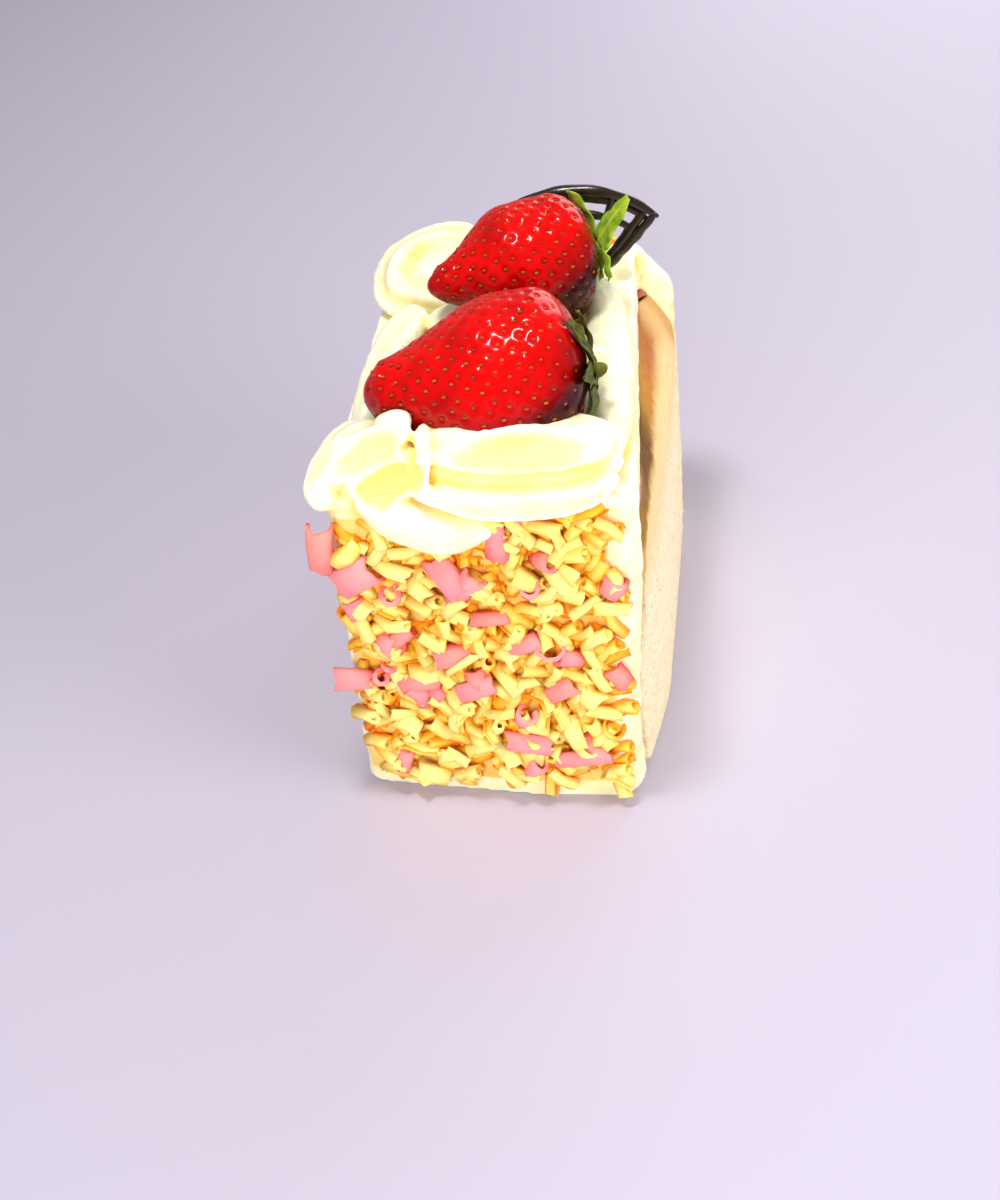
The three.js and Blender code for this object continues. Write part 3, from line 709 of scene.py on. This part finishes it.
def rope(wide, tall, pleats, deep, twist, through):
    """A rope of piping: an oval whose radius is 1 + deep cos(pleats (angle + twist t))."""
    def section(t, angle):
        pleat = 1 + deep * np.cos(pleats * (angle + twist * t))
        body = round_ends(t, 0.38)
        return oval(wide * pleat * body, tall * pleat * body, angle)
    return swept(through, section, 48, 64)


def spread_level(low, high, reach, corner, bulge, inset):
    """A level of spread cream: an upright block that swells between its foot and its top."""
    rings, way = upright_block(-reach, reach, np.linspace(low, high, 12), corner, 240, inset)
    rings[..., :2] += way * (bulge * np.sin(np.linspace(0, math.pi, 12)))[:, None, None]
    return outward(*close_ends(rings))


def scooped(spots, middle, facing, running, long, wide, deep):
    """Spots pressed back to a bowl: deep (q - 1) along its facing, q the squared share to its rim.

    Returns the spots and how far each was pressed.
    """
    out = unit(np.array(facing))
    run = unit(np.array(running) - out * (out @ running))
    away = spots - middle
    above = away @ out
    q = (away @ run / long) ** 2 + (away @ np.cross(out, run) / wide) ** 2
    over = above - deep * (q - 1)
    pressed = np.where((q < SCOOP_REACH**2) & (over > 0) & (above < SCOOP_HEIGHT), over, 0)
    return spots - pressed[:, None] * out, pressed


def coat_shape(back):
    """The coat of one end, rounded at its outer upright corners, leaning out at the foot."""
    levels = np.linspace(0.0, CREAM_BASE_TOP - 0.6, 40)
    outer, inner = -HALF_DEPTH + 1, -HALF_DEPTH + COAT + 0.1
    rings, _ = upright_block(outer, inner, levels, 3.9, 160)
    x, y, z = rings[..., 0], rings[..., 1], rings[..., 2]
    share = np.clip((inner - y) / (inner - outer), 0, 1)
    if back:
        left, right = -right_face(-y, z), -left_face(-y)
        x = left + (x - left_face(y)) / (right_face(y, z) - left_face(y)) * (right - left)
    y = y + share * (front_face(x, z) - outer)
    turn = -1.0 if back else 1.0
    return outward(*close_ends(np.stack([turn * x, turn * y, z], -1)))


cream_parts = [rope(*row) for row in ROPES.values()]
cream_parts += [
    spread_level(JAM_TOP + GAP, CREAM_BASE_TOP - 1, INNER_END + 1, 2.0, 0.3, 0.5),
    spread_level(COAT_TOP - 4, CREAM_BASE_TOP, HALF_DEPTH - 1.6, 4.5, 0.2, 0.5),
    coat_shape(back=False),
    coat_shape(back=True),
]
print(len(cream_parts), "cream bodies")

# %% Mesh tools
def apply_modifier(piece, kind, **settings):
    """Adds a modifier with its settings and applies it to the mesh."""
    modifier = piece.modifiers.new(kind.lower(), kind)
    for title, value in settings.items():
        setattr(modifier, title, value)
    with bpy.context.temp_override(object=piece, active_object=piece, selected_objects=[piece]):
        bpy.ops.object.modifier_apply(modifier=modifier.name)


def read_points(mesh, title):
    """Three numbers from each point of the mesh: its place (co) or its way out (normal)."""
    numbers = np.empty(len(mesh.vertices) * 3)
    mesh.vertices.foreach_get(title, numbers)
    return numbers.reshape(-1, 3)


def neighbour_mean(points, edges, rounds):
    """Each point moved halfway to the mean of its neighbours, a number of times."""
    links = np.bincount(edges.ravel(), minlength=len(points))[:, None]
    for _ in range(rounds):
        total = np.zeros_like(points)
        for n in range(3):
            total[:, n] = np.bincount(edges[:, 0], points[edges[:, 1], n], len(points))
            total[:, n] += np.bincount(edges[:, 1], points[edges[:, 0], n], len(points))
        points = 0.5 * points + 0.5 * total / np.maximum(links, 1)
    return points


# %% Cream mass
CREAM_VOXEL = 0.5
CREAM_FACES = 190000
PRESSED_FULLY = 1.2

cream = add_piece("cream_mass", joined(cream_parts), CREAM)
apply_modifier(cream, "REMESH", mode="VOXEL", voxel_size=CREAM_VOXEL * MM)
edges = np.empty(len(cream.data.edges) * 2, int)
cream.data.edges.foreach_get("vertices", edges)
edges = edges.reshape(-1, 2)
spots = neighbour_mean(read_points(cream.data, "co") / MM, edges, 3)
scoop_shade = np.zeros(len(spots))
# each scoop gets yellow painted shade by how far the cream was pressed in
for *row, shade_share in SCOOPS.values():
    spots, pressed = scooped(spots, *row)
    scoop_shade += shade_share * np.clip(pressed / PRESSED_FULLY, 0, 1)
spots = neighbour_mean(spots, edges, 1)
cream.data.vertices.foreach_set("co", (spots * MM).ravel())
cream.data.update()
normals = read_points(cream.data, "normal")
ripple = 0.28 * noise(spots * [0.4, 1.0, 1.0], 3.0, 21) + 0.10 * noise(spots, 1.5, 22)
inside = (np.abs(spots[:, 1]) < INNER_END + 0.4) & (spots[:, 2] < JAM_TOP + 1.5)
ripple[inside | (spots[:, 2] < 1.0)] = 0
spots = spots + normals * ripple[:, None]
print("cream:", len(spots), "points,", int((scoop_shade > 0).sum()), "in the yellow of a scoop")

# %% [markdown]
# ## Painted shade in the folds
# Thick cream glows pale and its folds look yellow, where light passes from wall to wall, so the
# yellow is painted on as shade. How hollow a place is comes from smoothing the mass hard: where
# the smoothed mass stands out past the point, the point lies in a fold. Painted shade is added
# where the cream faces away from the top, near the berries, in the scoops and on the coat's cut
# sides, and the cream between the curls gets a painted orange shade.

# %% Painted shade in the folds
CURL_REACH = 24.0
BERRY_SHADOW_REACH = 5.0
BERRIES = {
    "front": dict(tip=(-24.1, -31.8, 87.2), crown=(20.8, -28, 89.9), radius=17.0,
                  neck=0.41, full_at=0.62, seeds=430),
    "back": dict(tip=(-15.5, 3.4, 90.8), crown=(18.4, 18, 91.1), radius=13.1,
                 neck=0.3, full_at=0.52, seeds=310),
}


def painted_berry_shadow(spots):
    """Painted shadow on the cream: 1 against a strawberry and 0 some way off, a bell of the distance to its
    widening axis.
    """
    nearest = np.full(len(spots), np.inf)
    for fruit in BERRIES.values():
        tip = np.array(fruit["tip"])
        axis = fruit["crown"] - tip
        share = np.clip((spots - tip) @ axis / (axis @ axis), 0, 1)
        gap = np.linalg.norm(spots - (tip + share[:, None] * axis), axis=1)
        nearest = np.minimum(nearest, np.maximum(gap - fruit["radius"] * np.sqrt(share), 0))
    return np.exp(-((nearest / BERRY_SHADOW_REACH) ** 2))


# painted shade: how far the hard-smoothed mass stands out past each point, yellow in the folds
painted_shade = np.einsum("ij,ij->i", neighbour_mean(spots, edges, 40) - spots, normals)
# more painted shade where the cream faces sideways or down, away from the light above, and on the coat's cut
# sides
shade_by_facing = 1 - np.clip(normals[:, 2], 0, 1)
cut_coat = eased(0.5, 0.9, np.abs(normals[:, 0])) * (spots[:, 1] > INNER_END) * (spots[:, 2] < COAT_TOP)
# painted shade from facing, from the berries' shadow and from the scoops
extra_shade = 0.18 * shade_by_facing + 0.08 * painted_berry_shadow(spots) + 0.22 * cut_coat + scoop_shade
painted_shade = np.clip(0.17 + painted_shade / 1.2 + extra_shade, 0, 0.66)
# painted orange shade on the plain cream between the curls
for turn in (1, -1):
    x, y, z = (spots * [turn, turn, 1]).T
    plain = np.abs(y - front_face(x, z)) < 1.0
    shade_between_curls = plain & (z > 4) & (z < COAT_TOP - 3) & (x < CURL_REACH) & (normals[:, 1] * turn < -0.5)
    painted_shade = np.where(shade_between_curls, 0.85 + 0.15 * noise(spots, 4.0, 23), painted_shade)
spots[:, 2] = np.maximum(spots[:, 2], 0.0)
cream.data.vertices.foreach_set("co", (spots * MM).ravel())
keep_values(cream.data, "painted_shade", painted_shade)
cream.data.polygons.foreach_set("use_smooth", np.ones(len(cream.data.polygons), bool))
apply_modifier(cream, "DECIMATE", ratio=min(1.0, CREAM_FACES / (2 * len(cream.data.polygons))))
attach(cream, "root")
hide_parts("cream_top", "coat_front", "coat_back")
print("cream:", len(cream.data.polygons), "faces, hollow", painted_shade.min().round(2), "to", painted_shade.max().round(2))

# %% [markdown]
# ## Chocolate curls
# Shavings of yellow and pink chocolate roll up as the blade lifts them, and are pressed into the
# cream in a thick layer. A curl is a thin sheet rolled on a spiral. All the curls of a colour are
# worked out at once, as one array with an axis for the curl, one round the roll and one along it.

# %% Curl shape
CURL_STEPS = 10
YELLOW_SHEET = 0.6
PINK_SHEET = 0.85


def chance(n):
    """A number from 0 to 1 for each whole number, which looks random and is the same each time."""
    return hashed(np.asarray(n, float) * 12.9898 + 4.1414)


def between(n, low, high):
    """A chance number stretched from low to high."""
    return low + (high - low) * chance(n)


def turning(axis, angle):
    """Rotation matrices about one axis, one for each angle."""
    c, s, o, i = np.cos(angle), np.sin(angle), np.zeros_like(angle), np.ones_like(angle)
    rows = {
        "x": [i, o, o, o, c, -s, o, s, c],
        "y": [c, o, s, o, i, o, -s, o, c],
        "z": [c, -s, o, s, c, o, o, o, i],
    }[axis]
    return np.stack(rows, -1).reshape(-1, 3, 3)


def rolled_sheets(curls, steps, sheet, back=False):
    """Sheets on the spiral radius (1 - pinch s), with s from 0 to 1 round the roll.

    curls holds one array each for x, z, out, turn, tilt, spin, length, radius, turns and so on.
    The loop round a sheet goes out on its outer side and back on its inner side.
    """
    c = {k: v[:, None, None] for k, v in curls.items()}
    s = np.linspace(0, 1, steps)
    loop = np.concatenate([s, s[::-1]])[None, :, None]
    outside = np.repeat([1.0, -1.0], steps)[None, :, None]
    end = np.array([-0.5, 0.0, 0.5])[None, None, :]
    angle = (loop - 0.5) * c["turns"] * 2 * math.pi + math.pi / 2
    ragged = 0.09 * np.sin(5 * loop + c["own"] * 40) + 0.06 * np.sin(13 * loop + c["own"] * 90)
    radius = c["radius"] * (1 - c["pinch"] * loop) * (1 + c["taper"] * end) + outside * sheet / 2
    x = c["length"] * end * (1 + ragged)
    bend = c["bend"] * (0.25 - end**2) * c["length"]
    cosine, sine = np.cos(angle), np.sin(angle)
    local = np.stack(np.broadcast_arrays(x, radius * cosine + bend, radius * sine), -1)
    skin = np.stack(np.broadcast_arrays(0 * radius, outside * cosine, outside * sine), -1)
    way = turning("x", np.full(len(curls["x"]), math.pi / 2)) @ turning("z", curls["turn"])
    way = way @ turning("y", curls["tilt"]) @ turning("x", curls["spin"])
    spot = np.stack([curls["x"], front_face(curls["x"], curls["z"]) - curls["out"], curls["z"]], -1)
    placed = np.einsum("kij,kabj->kabi", way, local) + spot[:, None, None]
    proud = front_face(placed[..., 0], placed[..., 2]) - placed[..., 1]
    looks = np.einsum("kij,kabj->kabi", way, skin)
    # painted light: how far each side of a sheet faces up and out
    lit = np.clip(0.75 * looks[..., 2] - 0.65 * looks[..., 1], 0, 1)
    if back:
        placed[..., :2] *= -1
    return placed, proud, lit


def sheet_cells(steps, count):
    """Cells of count sheets, and which of them are flat: the rims and ends, but not the sides."""
    around, along = 2 * steps, 3
    side = grid_cells(around, along, False)
    start = along * (around - 1)
    rim = np.array([[start + k, start + k + 1, k + 1, k] for k in range(along - 1)])
    a = np.arange(steps - 1)
    far = around - 1 - a
    low = along * np.stack([a, a + 1, far - 1, far], -1)
    high = low[:, ::-1] + along - 1
    cells = np.vstack([side, rim, low, high])
    flat = np.ones(len(cells), bool)
    flat[:len(side)] = False
    flat[(along - 1) * (steps - 1):(along - 1) * steps] = True
    quads = (cells[None] + np.arange(count)[:, None, None] * around * along).reshape(-1, 4)
    return quads, np.tile(flat, count)


# %% Curl places
# x, z, degrees turned in the face and tilted out of it, length, radius and turns of each pink curl
PINK_CURLS = np.array([
    (-32.5, 64.5, 85, 0, 10.5, 3.2, 0.42), (-26, 57.5, 30, 0, 8.5, 5, 0.3),
    (-19.6, 52.6, 90, -50, 4.5, 2.8, 0.9), (-7.6, 58.3, 125, 12, 9.5, 4, 0.35),
    (-4.2, 55.4, 50, -12, 8.5, 3.4, 0.4), (3.2, 67, 90, -10, 8, 2.9, 0.75),
    (8.6, 54.6, 80, -45, 5.5, 2.7, 0.9), (0, 47.6, 5, 0, 7, 1.8, 0.7),
    (-8, 37.6, 8, 10, 9.5, 3.2, 0.85), (11.6, 40.2, 75, -50, 5.5, 4.6, 0.75),
    (6.8, 41.2, 20, 0, 6, 2.4, 0.6), (-30.2, 30.5, -3, 0, 8, 3.6, 0.35),
    (-24.7, 30.9, 60, -40, 5, 2.2, 0.8), (-15.9, 30.4, 8, 0, 8.5, 2.8, 0.65),
    (-4.1, 30, 20, 0, 7.5, 3.6, 0.35), (13.5, 30, 30, 0, 6, 3, 0.4),
    (5.3, 22.1, 70, -35, 6.5, 2.8, 0.6), (5.7, 15.7, -8, 0, 10, 3, 0.35),
    (16.8, 12.6, 10, 0, 11, 3, 0.35), (6.4, 8.7, 60, -25, 6.5, 2.8, 0.65),
    (-21.7, 8.9, 75, 0, 6, 2.2, 0.6),
])
MIRRORED = -0.8
TIGHTER = 0.78
CONE_TILT = -10
TIGHT_SHARE = 0.88
CHIP_SHARE = 0.17
CURL_EDGE = 25.5
CURLS_FROM, CURLS_TO = 4.5, 72.5
LOBE_FROM, LOBE_TO, LOBE_LOW = -27.0, -8.0, 68.5


def room_for(x, z, back):
    """Whether a curl's middle lies on the coated end: clear of its edges and the low lobe."""
    left_edge = 5.5 - right_face(HALF_DEPTH, z) if back else -30.0
    right_edge = 28.0 if back else CURL_EDGE
    in_lobe = (not back) & (x > LOBE_FROM) & (x < LOBE_TO) & (z > LOBE_LOW)
    return ~in_lobe & (x > left_edge) & (x < right_edge) & (z < CURLS_TO) & (z > CURLS_FROM)


def kept(curls, keep):
    """Only those curls for which keep is true."""
    return {title: value[keep] for title, value in curls.items()}


def drawn(n, ranges):
    """Chance values for the curls: for each title, which number it takes, the least and the most."""
    return {title: between(n + k, low, high) for title, (k, low, high) in ranges.items()}


def pink_places(seed, back):
    """The pink curls of one end; the back end has the same ones mirrored and set closer."""
    x, z, turn, tilt, length, radius, turns = PINK_CURLS.T
    n = seed + np.arange(len(x))
    hand = -1.0 if back else 1.0
    return {
        "x": x * (MIRRORED if back else 1.0), "z": z, "out": 2.6 - radius * 0.4,
        "turn": np.radians(turn) * hand, "tilt": np.radians(tilt) * hand,
        "length": length, "radius": radius * TIGHTER, "turns": turns / TIGHTER,
        "pinch": np.where(turns > 0.5, 0.3, 0.12),
        "taper": np.where(tilt == CONE_TILT, -0.9, between(n + 90, -0.2, 0.2)),
        **drawn(n, {"spin": (50, -0.5, 0.5), "bend": (60, -0.15, 0.15), "own": (70, 0, 1),
                    "depth": (80, 0.45, 1.0)}),
    }


def pink_chips(seed, back):
    """Smaller pink shavings among the yellow ones, on a jittered grid, about one to every six cells."""
    k = np.arange(8 * 11)
    n = seed + 17 * k
    x = -30 + (k % 8 + between(n, 0.1, 0.9)) * 7.2
    z = 4 + (k // 8 + between(n + 1, 0.1, 0.9)) * 6.2
    chips = {"x": x, "z": z, "pinch": 0.3 + 0 * x, **drawn(n, {
        "out": (3, 0.4, 1.6), "turn": (4, -1.6, 1.6), "tilt": (5, -0.8, 0.4), "spin": (6, -1, 1),
        "length": (7, 3, 6), "radius": (8, 1.5, 2.8), "turns": (9, 0.35, 0.9), "taper": (10, -0.3, 0.3),
        "own": (11, 0, 1), "depth": (12, 0.1, 0.8), "bend": (14, -0.5, 0.5),
    })}
    return kept(chips, room_for(x, z, back) & (chance(n + 2) < CHIP_SHARE))


def yellow_layer(seed, columns, rows, out, sizes, depth, back):
    """One layer of yellow curls on a jittered grid, most rolled tight; depth sets the painted shade, so outer
    ones are paler.
    """
    k = np.arange(columns * rows)
    n = seed + 11 * k
    step_x, step_z = 58 / columns, 70 / rows
    x = -31 + (k % columns + 0.5 + 0.5 * ((k // columns) % 2)) * step_x + between(n, -0.4, 0.4) * step_x
    z = 3.0 + (k // columns + 0.5) * step_z + between(n + 1, -0.4, 0.4) * step_z
    tight = chance(n + 9) < TIGHT_SHARE
    layer = {"x": x, "z": z, **drawn(n, {
        "out": (2, *out), "turn": (3, -1.3, 1.3), "tilt": (4, -0.7, 0.35), "spin": (5, -1.2, 1.2),
        "length": (6, *sizes), "taper": (10, -0.3, 0.3), "own": (12, 0, 1), "bend": (14, -0.9, 0.9),
    })}
    layer["radius"] = np.where(tight, between(n + 7, 1.15, 1.7), between(n + 7, 1.7, 2.7))
    layer["turns"] = np.where(tight, between(n + 8, 1.2, 1.6), between(n + 8, 0.4, 0.8))
    layer["pinch"] = np.where(tight, 0.5, 0.2)
    layer["depth"] = np.clip(depth + between(n + 13, -0.2, 0.2), 0, 1)
    return kept(layer, room_for(x, z, back))


def merged(layers):
    """Layers of curls as one set of arrays."""
    return {title: np.concatenate([layer[title] for layer in layers]) for title in layers[0]}


def add_curls(name, curls, material, replaced, back, sheet):
    """One piece for all the curls of a colour on an end, painted paler where they stand out and face up,
    orange shade deeper in.
    """
    spots, proud, lit = rolled_sheets(curls, CURL_STEPS, sheet, back)
    size = spots.shape[1] * spots.shape[2]
    spots = spots.reshape(-1, 3)
    spots[:, 2] = np.maximum(spots[:, 2], 0.05)
    quads, flat = sheet_cells(CURL_STEPS, len(curls["x"]))
    depth, own = np.repeat(curls["depth"], size), np.repeat(curls["own"], size)
    # painted light and shade, kept as depth: paler where a curl stands proud and faces up, orange deeper in
    share = (proud.ravel() + 0.8) / 4.2 + 0.35 * (depth - 0.5) + 0.5 * (lit.ravel() - 0.5)
    shape = spots, quads, np.zeros((0, 3), int)
    values = {"own": own, "depth": np.clip(share, 0, 1)}
    add_piece(name, shape, material, "chocolate_curls", [replaced], values, flat)


for end, back in (("front", False), ("back", True)):
    seed = 611 if back else 11
    yellows = merged([
        yellow_layer(seed + 3000, 11, 18, (-0.7, 0.2), (5.0, 7.5), 0.15, back),
        yellow_layer(seed + 6000, 10, 16, (0.5, 1.3), (5.0, 8.0), 0.55, back),
        yellow_layer(seed + 9000, 7, 11, (1.6, 2.3), (5.0, 8.0), 0.9, back),
    ])
    add_curls(f"yellow_curls_{end}", yellows, YELLOW, f"coat_{end}", back, YELLOW_SHEET)
    pinks = merged([pink_places(seed, back), pink_chips(seed + 20000, back)])
    add_curls(f"pink_curls_{end}", pinks, PINK, f"coat_{end}", back, PINK_SHEET)

# %% [markdown]
# ## Strawberries
# A strawberry is a blunt cone with broad shoulders, and its skin is drawn in round each seed. The
# seeds are set out as on the real fruit, each a fixed turn on from the last, and every grid point
# is pressed in by its distance to the nearest seed. The seeds themselves are small drops.

# %% Strawberries
SHOULDER = 0.22
GOLDEN_TURN = math.pi * (3 - math.sqrt(5))
DIMPLE_WIDE = 0.85
DIMPLE_DEEP = 0.42
# half a seed's length, width and height
SEED_SIZE = (0.52, 0.32, 0.24)


def berry_radius(fruit, t):
    """Share of the full radius: an eased cone from its neck to 1, a round tip, an elliptical shoulder."""
    cone = fruit["neck"] + (1 - fruit["neck"]) * eased(0.03, fruit["full_at"], t)
    tip = np.minimum(1, np.sqrt(np.clip(t, 0, None) / 0.09))
    shoulder = np.sqrt(np.clip(1 - np.clip(1 - (1 - t) / SHOULDER, 0, 1) ** 2, 0, 1))
    return cone * tip * shoulder


def berry_frame(fruit):
    """The fruit's tip, its direction, the two ways across it and its length."""
    tip, crown = np.array(fruit["tip"]), np.array(fruit["crown"])
    ahead = unit(crown - tip)
    side = unit(np.cross(ahead, UP))
    return tip, ahead, side, np.cross(side, ahead), float(np.linalg.norm(crown - tip))


def on_berry(fruit, t, angle, lift=0.0):
    """A point on the smooth fruit, lift millimetres proud of it."""
    tip, ahead, side, rise, length = berry_frame(fruit)
    r = fruit["radius"] * berry_radius(fruit, t) * (1 + 0.03 * np.sin(2 * angle + 5 * t)) + lift
    across, up = oval(r, r, angle)
    return tip + ahead * (t * length)[..., None] + side * across[..., None] + rise * up[..., None]


def seed_places(fruit):
    """t and angle of each seed: a golden turn from one to the next, evenly spread over the skin."""
    share = (np.arange(fruit["seeds"]) + 0.5) / fruit["seeds"]
    t_grid = np.linspace(0.01, 0.97, 300)
    area = np.cumsum(berry_radius(fruit, t_grid) + 0.05)
    n = np.arange(fruit["seeds"])
    t = np.interp(share * area[-1], area, t_grid) + between(n, -0.008, 0.008)
    return np.clip(t, 0.01, 0.97), n * GOLDEN_TURN + between(n + 1000, -0.03, 0.03)


def berry_shape(fruit):
    """The fruit with its dimples: each point goes in by a bell of its distance to the nearest seed."""
    along, around = ((170, 240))
    t = closer_at_ends(along)
    tt, aa = np.meshgrid(t, full_turn(around), indexing="ij")
    base = on_berry(fruit, tt, aa)
    seeds = on_berry(fruit, *seed_places(fruit))
    nearest = np.stack([np.linalg.norm(ring[:, None] - seeds[None], axis=-1).min(1) for ring in base])
    pit = np.exp(-((nearest / DIMPLE_WIDE) ** 2))
    uneven = 0.35 * noise(base, 8.0, 5) + 0.1 * noise(base, 2.0, 6)
    fade = np.clip(np.minimum(t, 1 - t) / 0.04, 0, 1)[:, None]
    lift = (uneven - DIMPLE_DEEP * pit * (1 + 0.5 * noise(base, 5.0, 7))) * fade
    points, quads, triangles = close_ends(on_berry(fruit, tt, aa, lift))
    tip, ahead, _, _, length = berry_frame(fruit)
    points[-2], points[-1] = tip + 0.02 * ahead, tip + ahead * length
    # painted shade: darker low down and towards the crown
    low_down = 1 - (points[:, 2] - points[:, 2].min()) / np.ptp(points[:, 2])
    near_crown = np.append(tt.ravel(), [0, 1]) ** 2
    crown_shade = eased(0.55, 1.0, 0.75 * low_down + 0.75 * near_crown)
    low = np.minimum(1, 0.9 * eased(0.25, 0.75, low_down) + 0.8 * crown_shade)
    # pit also darkens the dimples' colour, as painted shade
    return outward(points, quads, triangles), {"pit": 0.6 * np.append(pit.ravel(), [0, 0]), "low": low}


def seed_shape(fruit):
    """Every seed of a fruit at once: a small drop, lying along the skin in its dimple."""
    t, angle = seed_places(fruit)
    centre = on_berry(fruit, t, angle, -0.36)
    on_skin = on_berry(fruit, t, angle)
    along = unit(on_berry(fruit, np.minimum(t + 0.01, 0.99), angle) - on_skin)
    out = on_berry(fruit, t, angle, 1.0) - on_skin
    out = unit(out - along * np.einsum("ij,ij->i", out, along)[:, None])
    ways = np.stack([along, np.cross(along, out), out], 1)
    pp, rr = np.meshgrid(np.linspace(0, math.pi, 7)[1:-1], full_turn(8), indexing="ij")
    ball = np.stack([np.cos(pp), np.sin(pp) * np.cos(rr), np.sin(pp) * np.sin(rr)], -1)
    rings = centre[:, None, None] + np.einsum("abj,kji->kabi", ball * SEED_SIZE, ways)
    return joined([outward(*close_ends(one)) for one in rings])


for name, fruit in BERRIES.items():
    shape, values = berry_shape(fruit)
    add_piece(f"strawberry_skin_{name}", shape, BERRY, "strawberry", [f"strawberry_{name}"], values)
    seeds = seed_shape(fruit)
    plain = {"vein": np.zeros(len(seeds[0]))}
    add_piece(f"strawberry_seeds_{name}", seeds, SEED, "strawberry", [f"strawberry_{name}"], plain)

# %% [markdown]
# ## Leaves
# Each strawberry keeps its leafy crown. A leaf is a thin wavy sheet that starts on the crown and
# wraps back over the shoulder; some lift off at the tip. The front fruit's leaves are dark, the
# back one's bright, with one leaf that stands up.

# %% Leaves
# degrees round the axis from straight up, how far it wraps in radians, width and flare of each leaf
LEAVES = {
    "front": [(12, 0.85, 4.2, 0.2), (62, 0.7, 4.2, 1.6), (118, 0.8, 4, 0.8), (200, 0.7, 4.4, 1),
              (300, 0.8, 4.4, 1)],
    "back": [(20, 0.62, 6, 9), (100, 0.75, 5, 1.5), (190, 0.7, 5, 1), (270, 0.8, 5, 1.5),
             (330, 1.05, 4.6, 0.8)],
}
LEAF_THICK = 0.5
LEAF_CLEAR = 0.8
STALK = 1.9


def leaf_shape(fruit, spread, wrap, width, flare):
    """A leaf on an ellipse round the shoulder: s runs along it and e across, from -1 to 1."""
    tip, ahead, side, rise, length = berry_frame(fruit)
    turn = math.radians(spread)
    away = rise * math.cos(turn) + side * math.sin(turn)
    across = np.cross(ahead, away)
    s, e = np.meshgrid(np.linspace(0, 1, 22), np.linspace(-1, 1, 11), indexing="ij")
    bend = wrap * (-0.02 + 1.02 * s)
    half = (0.1 + np.sin(math.pi * (0.12 + 0.84 * s)) ** 0.8) * width * 0.5
    half = half * (1 + 0.10 * np.sin(22 * s + spread))
    wave = 0.3 * np.sin(6 * s + spread) * e + 0.5 * e * e + 0.25 * np.sin(15 * s + 2 * e)
    deep = length * SHOULDER * (1 - np.cos(bend))
    sheet = []
    for face in (LEAF_THICK / 2, -LEAF_THICK / 2):
        lift = LEAF_CLEAR + wave + flare * s**2.5 + face * (1 - 0.6 * e * e)
        place = (tip + ahead * length) + ahead * (lift * np.cos(bend) - deep)[..., None]
        place = place + away * ((fruit["radius"] + lift) * np.sin(bend))[..., None]
        sheet.append(place + across * (e * half)[..., None])
    points, quads, triangles = close_ends(np.concatenate([sheet[0], sheet[1][:, ::-1]], axis=1))
    vein = np.exp(-((np.concatenate([e, e], axis=1) / 0.12) ** 2))
    return outward(points, quads, triangles), np.append(vein.ravel(), [0, 0])


def stalk_shape(fruit):
    """The stub of the stalk: a short swept body on the crown, thinner towards its end."""
    tip, ahead, _, rise, length = berry_frame(fruit)
    foot = tip + ahead * (length - 0.6)

    def section(t, angle):
        r = STALK * round_ends(t, 0.45) * (1 - 0.3 * t)
        return oval(r, r, angle)
    return swept([foot, foot + ahead * 2.2, foot + ahead * 4.2 + rise * 0.8], section, 12, 14)


for name, rows in LEAVES.items():
    shapes, veins = zip(*[leaf_shape(BERRIES[name], *row) for row in rows])
    stalk = stalk_shape(BERRIES[name])
    values = {"vein": np.concatenate([*veins, np.full(len(stalk[0]), 0.3)])}
    look = DARK_LEAF if name == "front" else BRIGHT_LEAF
    add_piece(f"strawberry_leaves_{name}", joined([*shapes, stalk]), look, "leaf", [f"calyx_{name}"], values)

# %% [markdown]
# ## Chocolate fan
# The fan is piped from thin strands: two arcs close together at the rim, one further in, and
# ribs from its foot in the cream. Each strand is a swept body whose thickness wavers a little.

# %% Chocolate fan
FAN = dict(x=13.9, y=31.0, z=72.5, outer=25.4, inner=19.5, low=-50.0, high=41.0)
STRAND = 1.15


def on_fan(radius, degrees, y):
    """A point of the fan, by its radius and its angle from upright."""
    a = math.radians(degrees)
    return (FAN["x"] + radius * math.sin(a), y, FAN["z"] + radius * math.cos(a))


def strand(through, thick):
    """A piped strand: a round section that wavers by sines along it."""
    def section(t, angle):
        r = thick * round_ends(t, 0.3) * (1 + 0.07 * np.sin(31 * t) + 0.05 * np.sin(17 * t + 2 * angle))
        return oval(r, r, angle)
    return swept(through, section, 70, 18)


def rib(start, end, thick):
    """A straight strand from start to end."""
    return strand([start, tuple(np.mean([start, end], 0)), end], thick)


def fan_shape():
    """Arcs and ribs, at the same places as the frame's."""
    y, low, high, outer = FAN["y"], FAN["low"], FAN["high"], FAN["outer"]
    past = 2.5
    step = (high - low + 2 * past) / 6
    arcs = [(outer, y, 1.1), (outer - 2, y + 0.4, 0.9), (FAN["inner"], y + 0.2, 0.85)]
    parts = [strand([on_fan(r, low - past + k * step, at) for k in range(7)], STRAND * thick)
             for r, at, thick in arcs]
    for k in range(5):
        degrees = low + (high - low) * k / 4
        leg = k in (0, 4)
        ends = on_fan(2 + k, degrees, y - 0.3), on_fan(outer + 0.5, degrees, y - 0.3)
        parts.append(rib(*ends, STRAND * (1 if leg else 0.8)))
        if leg:
            inside = degrees - math.copysign(5, degrees)
            parts.append(rib(on_fan(6, inside, y + 0.3), on_fan(outer, inside, y), STRAND))
    return joined(parts)


add_piece("piped_fan", fan_shape(), CHOCOLATE, "dark_chocolate", ["chocolate_fan"])
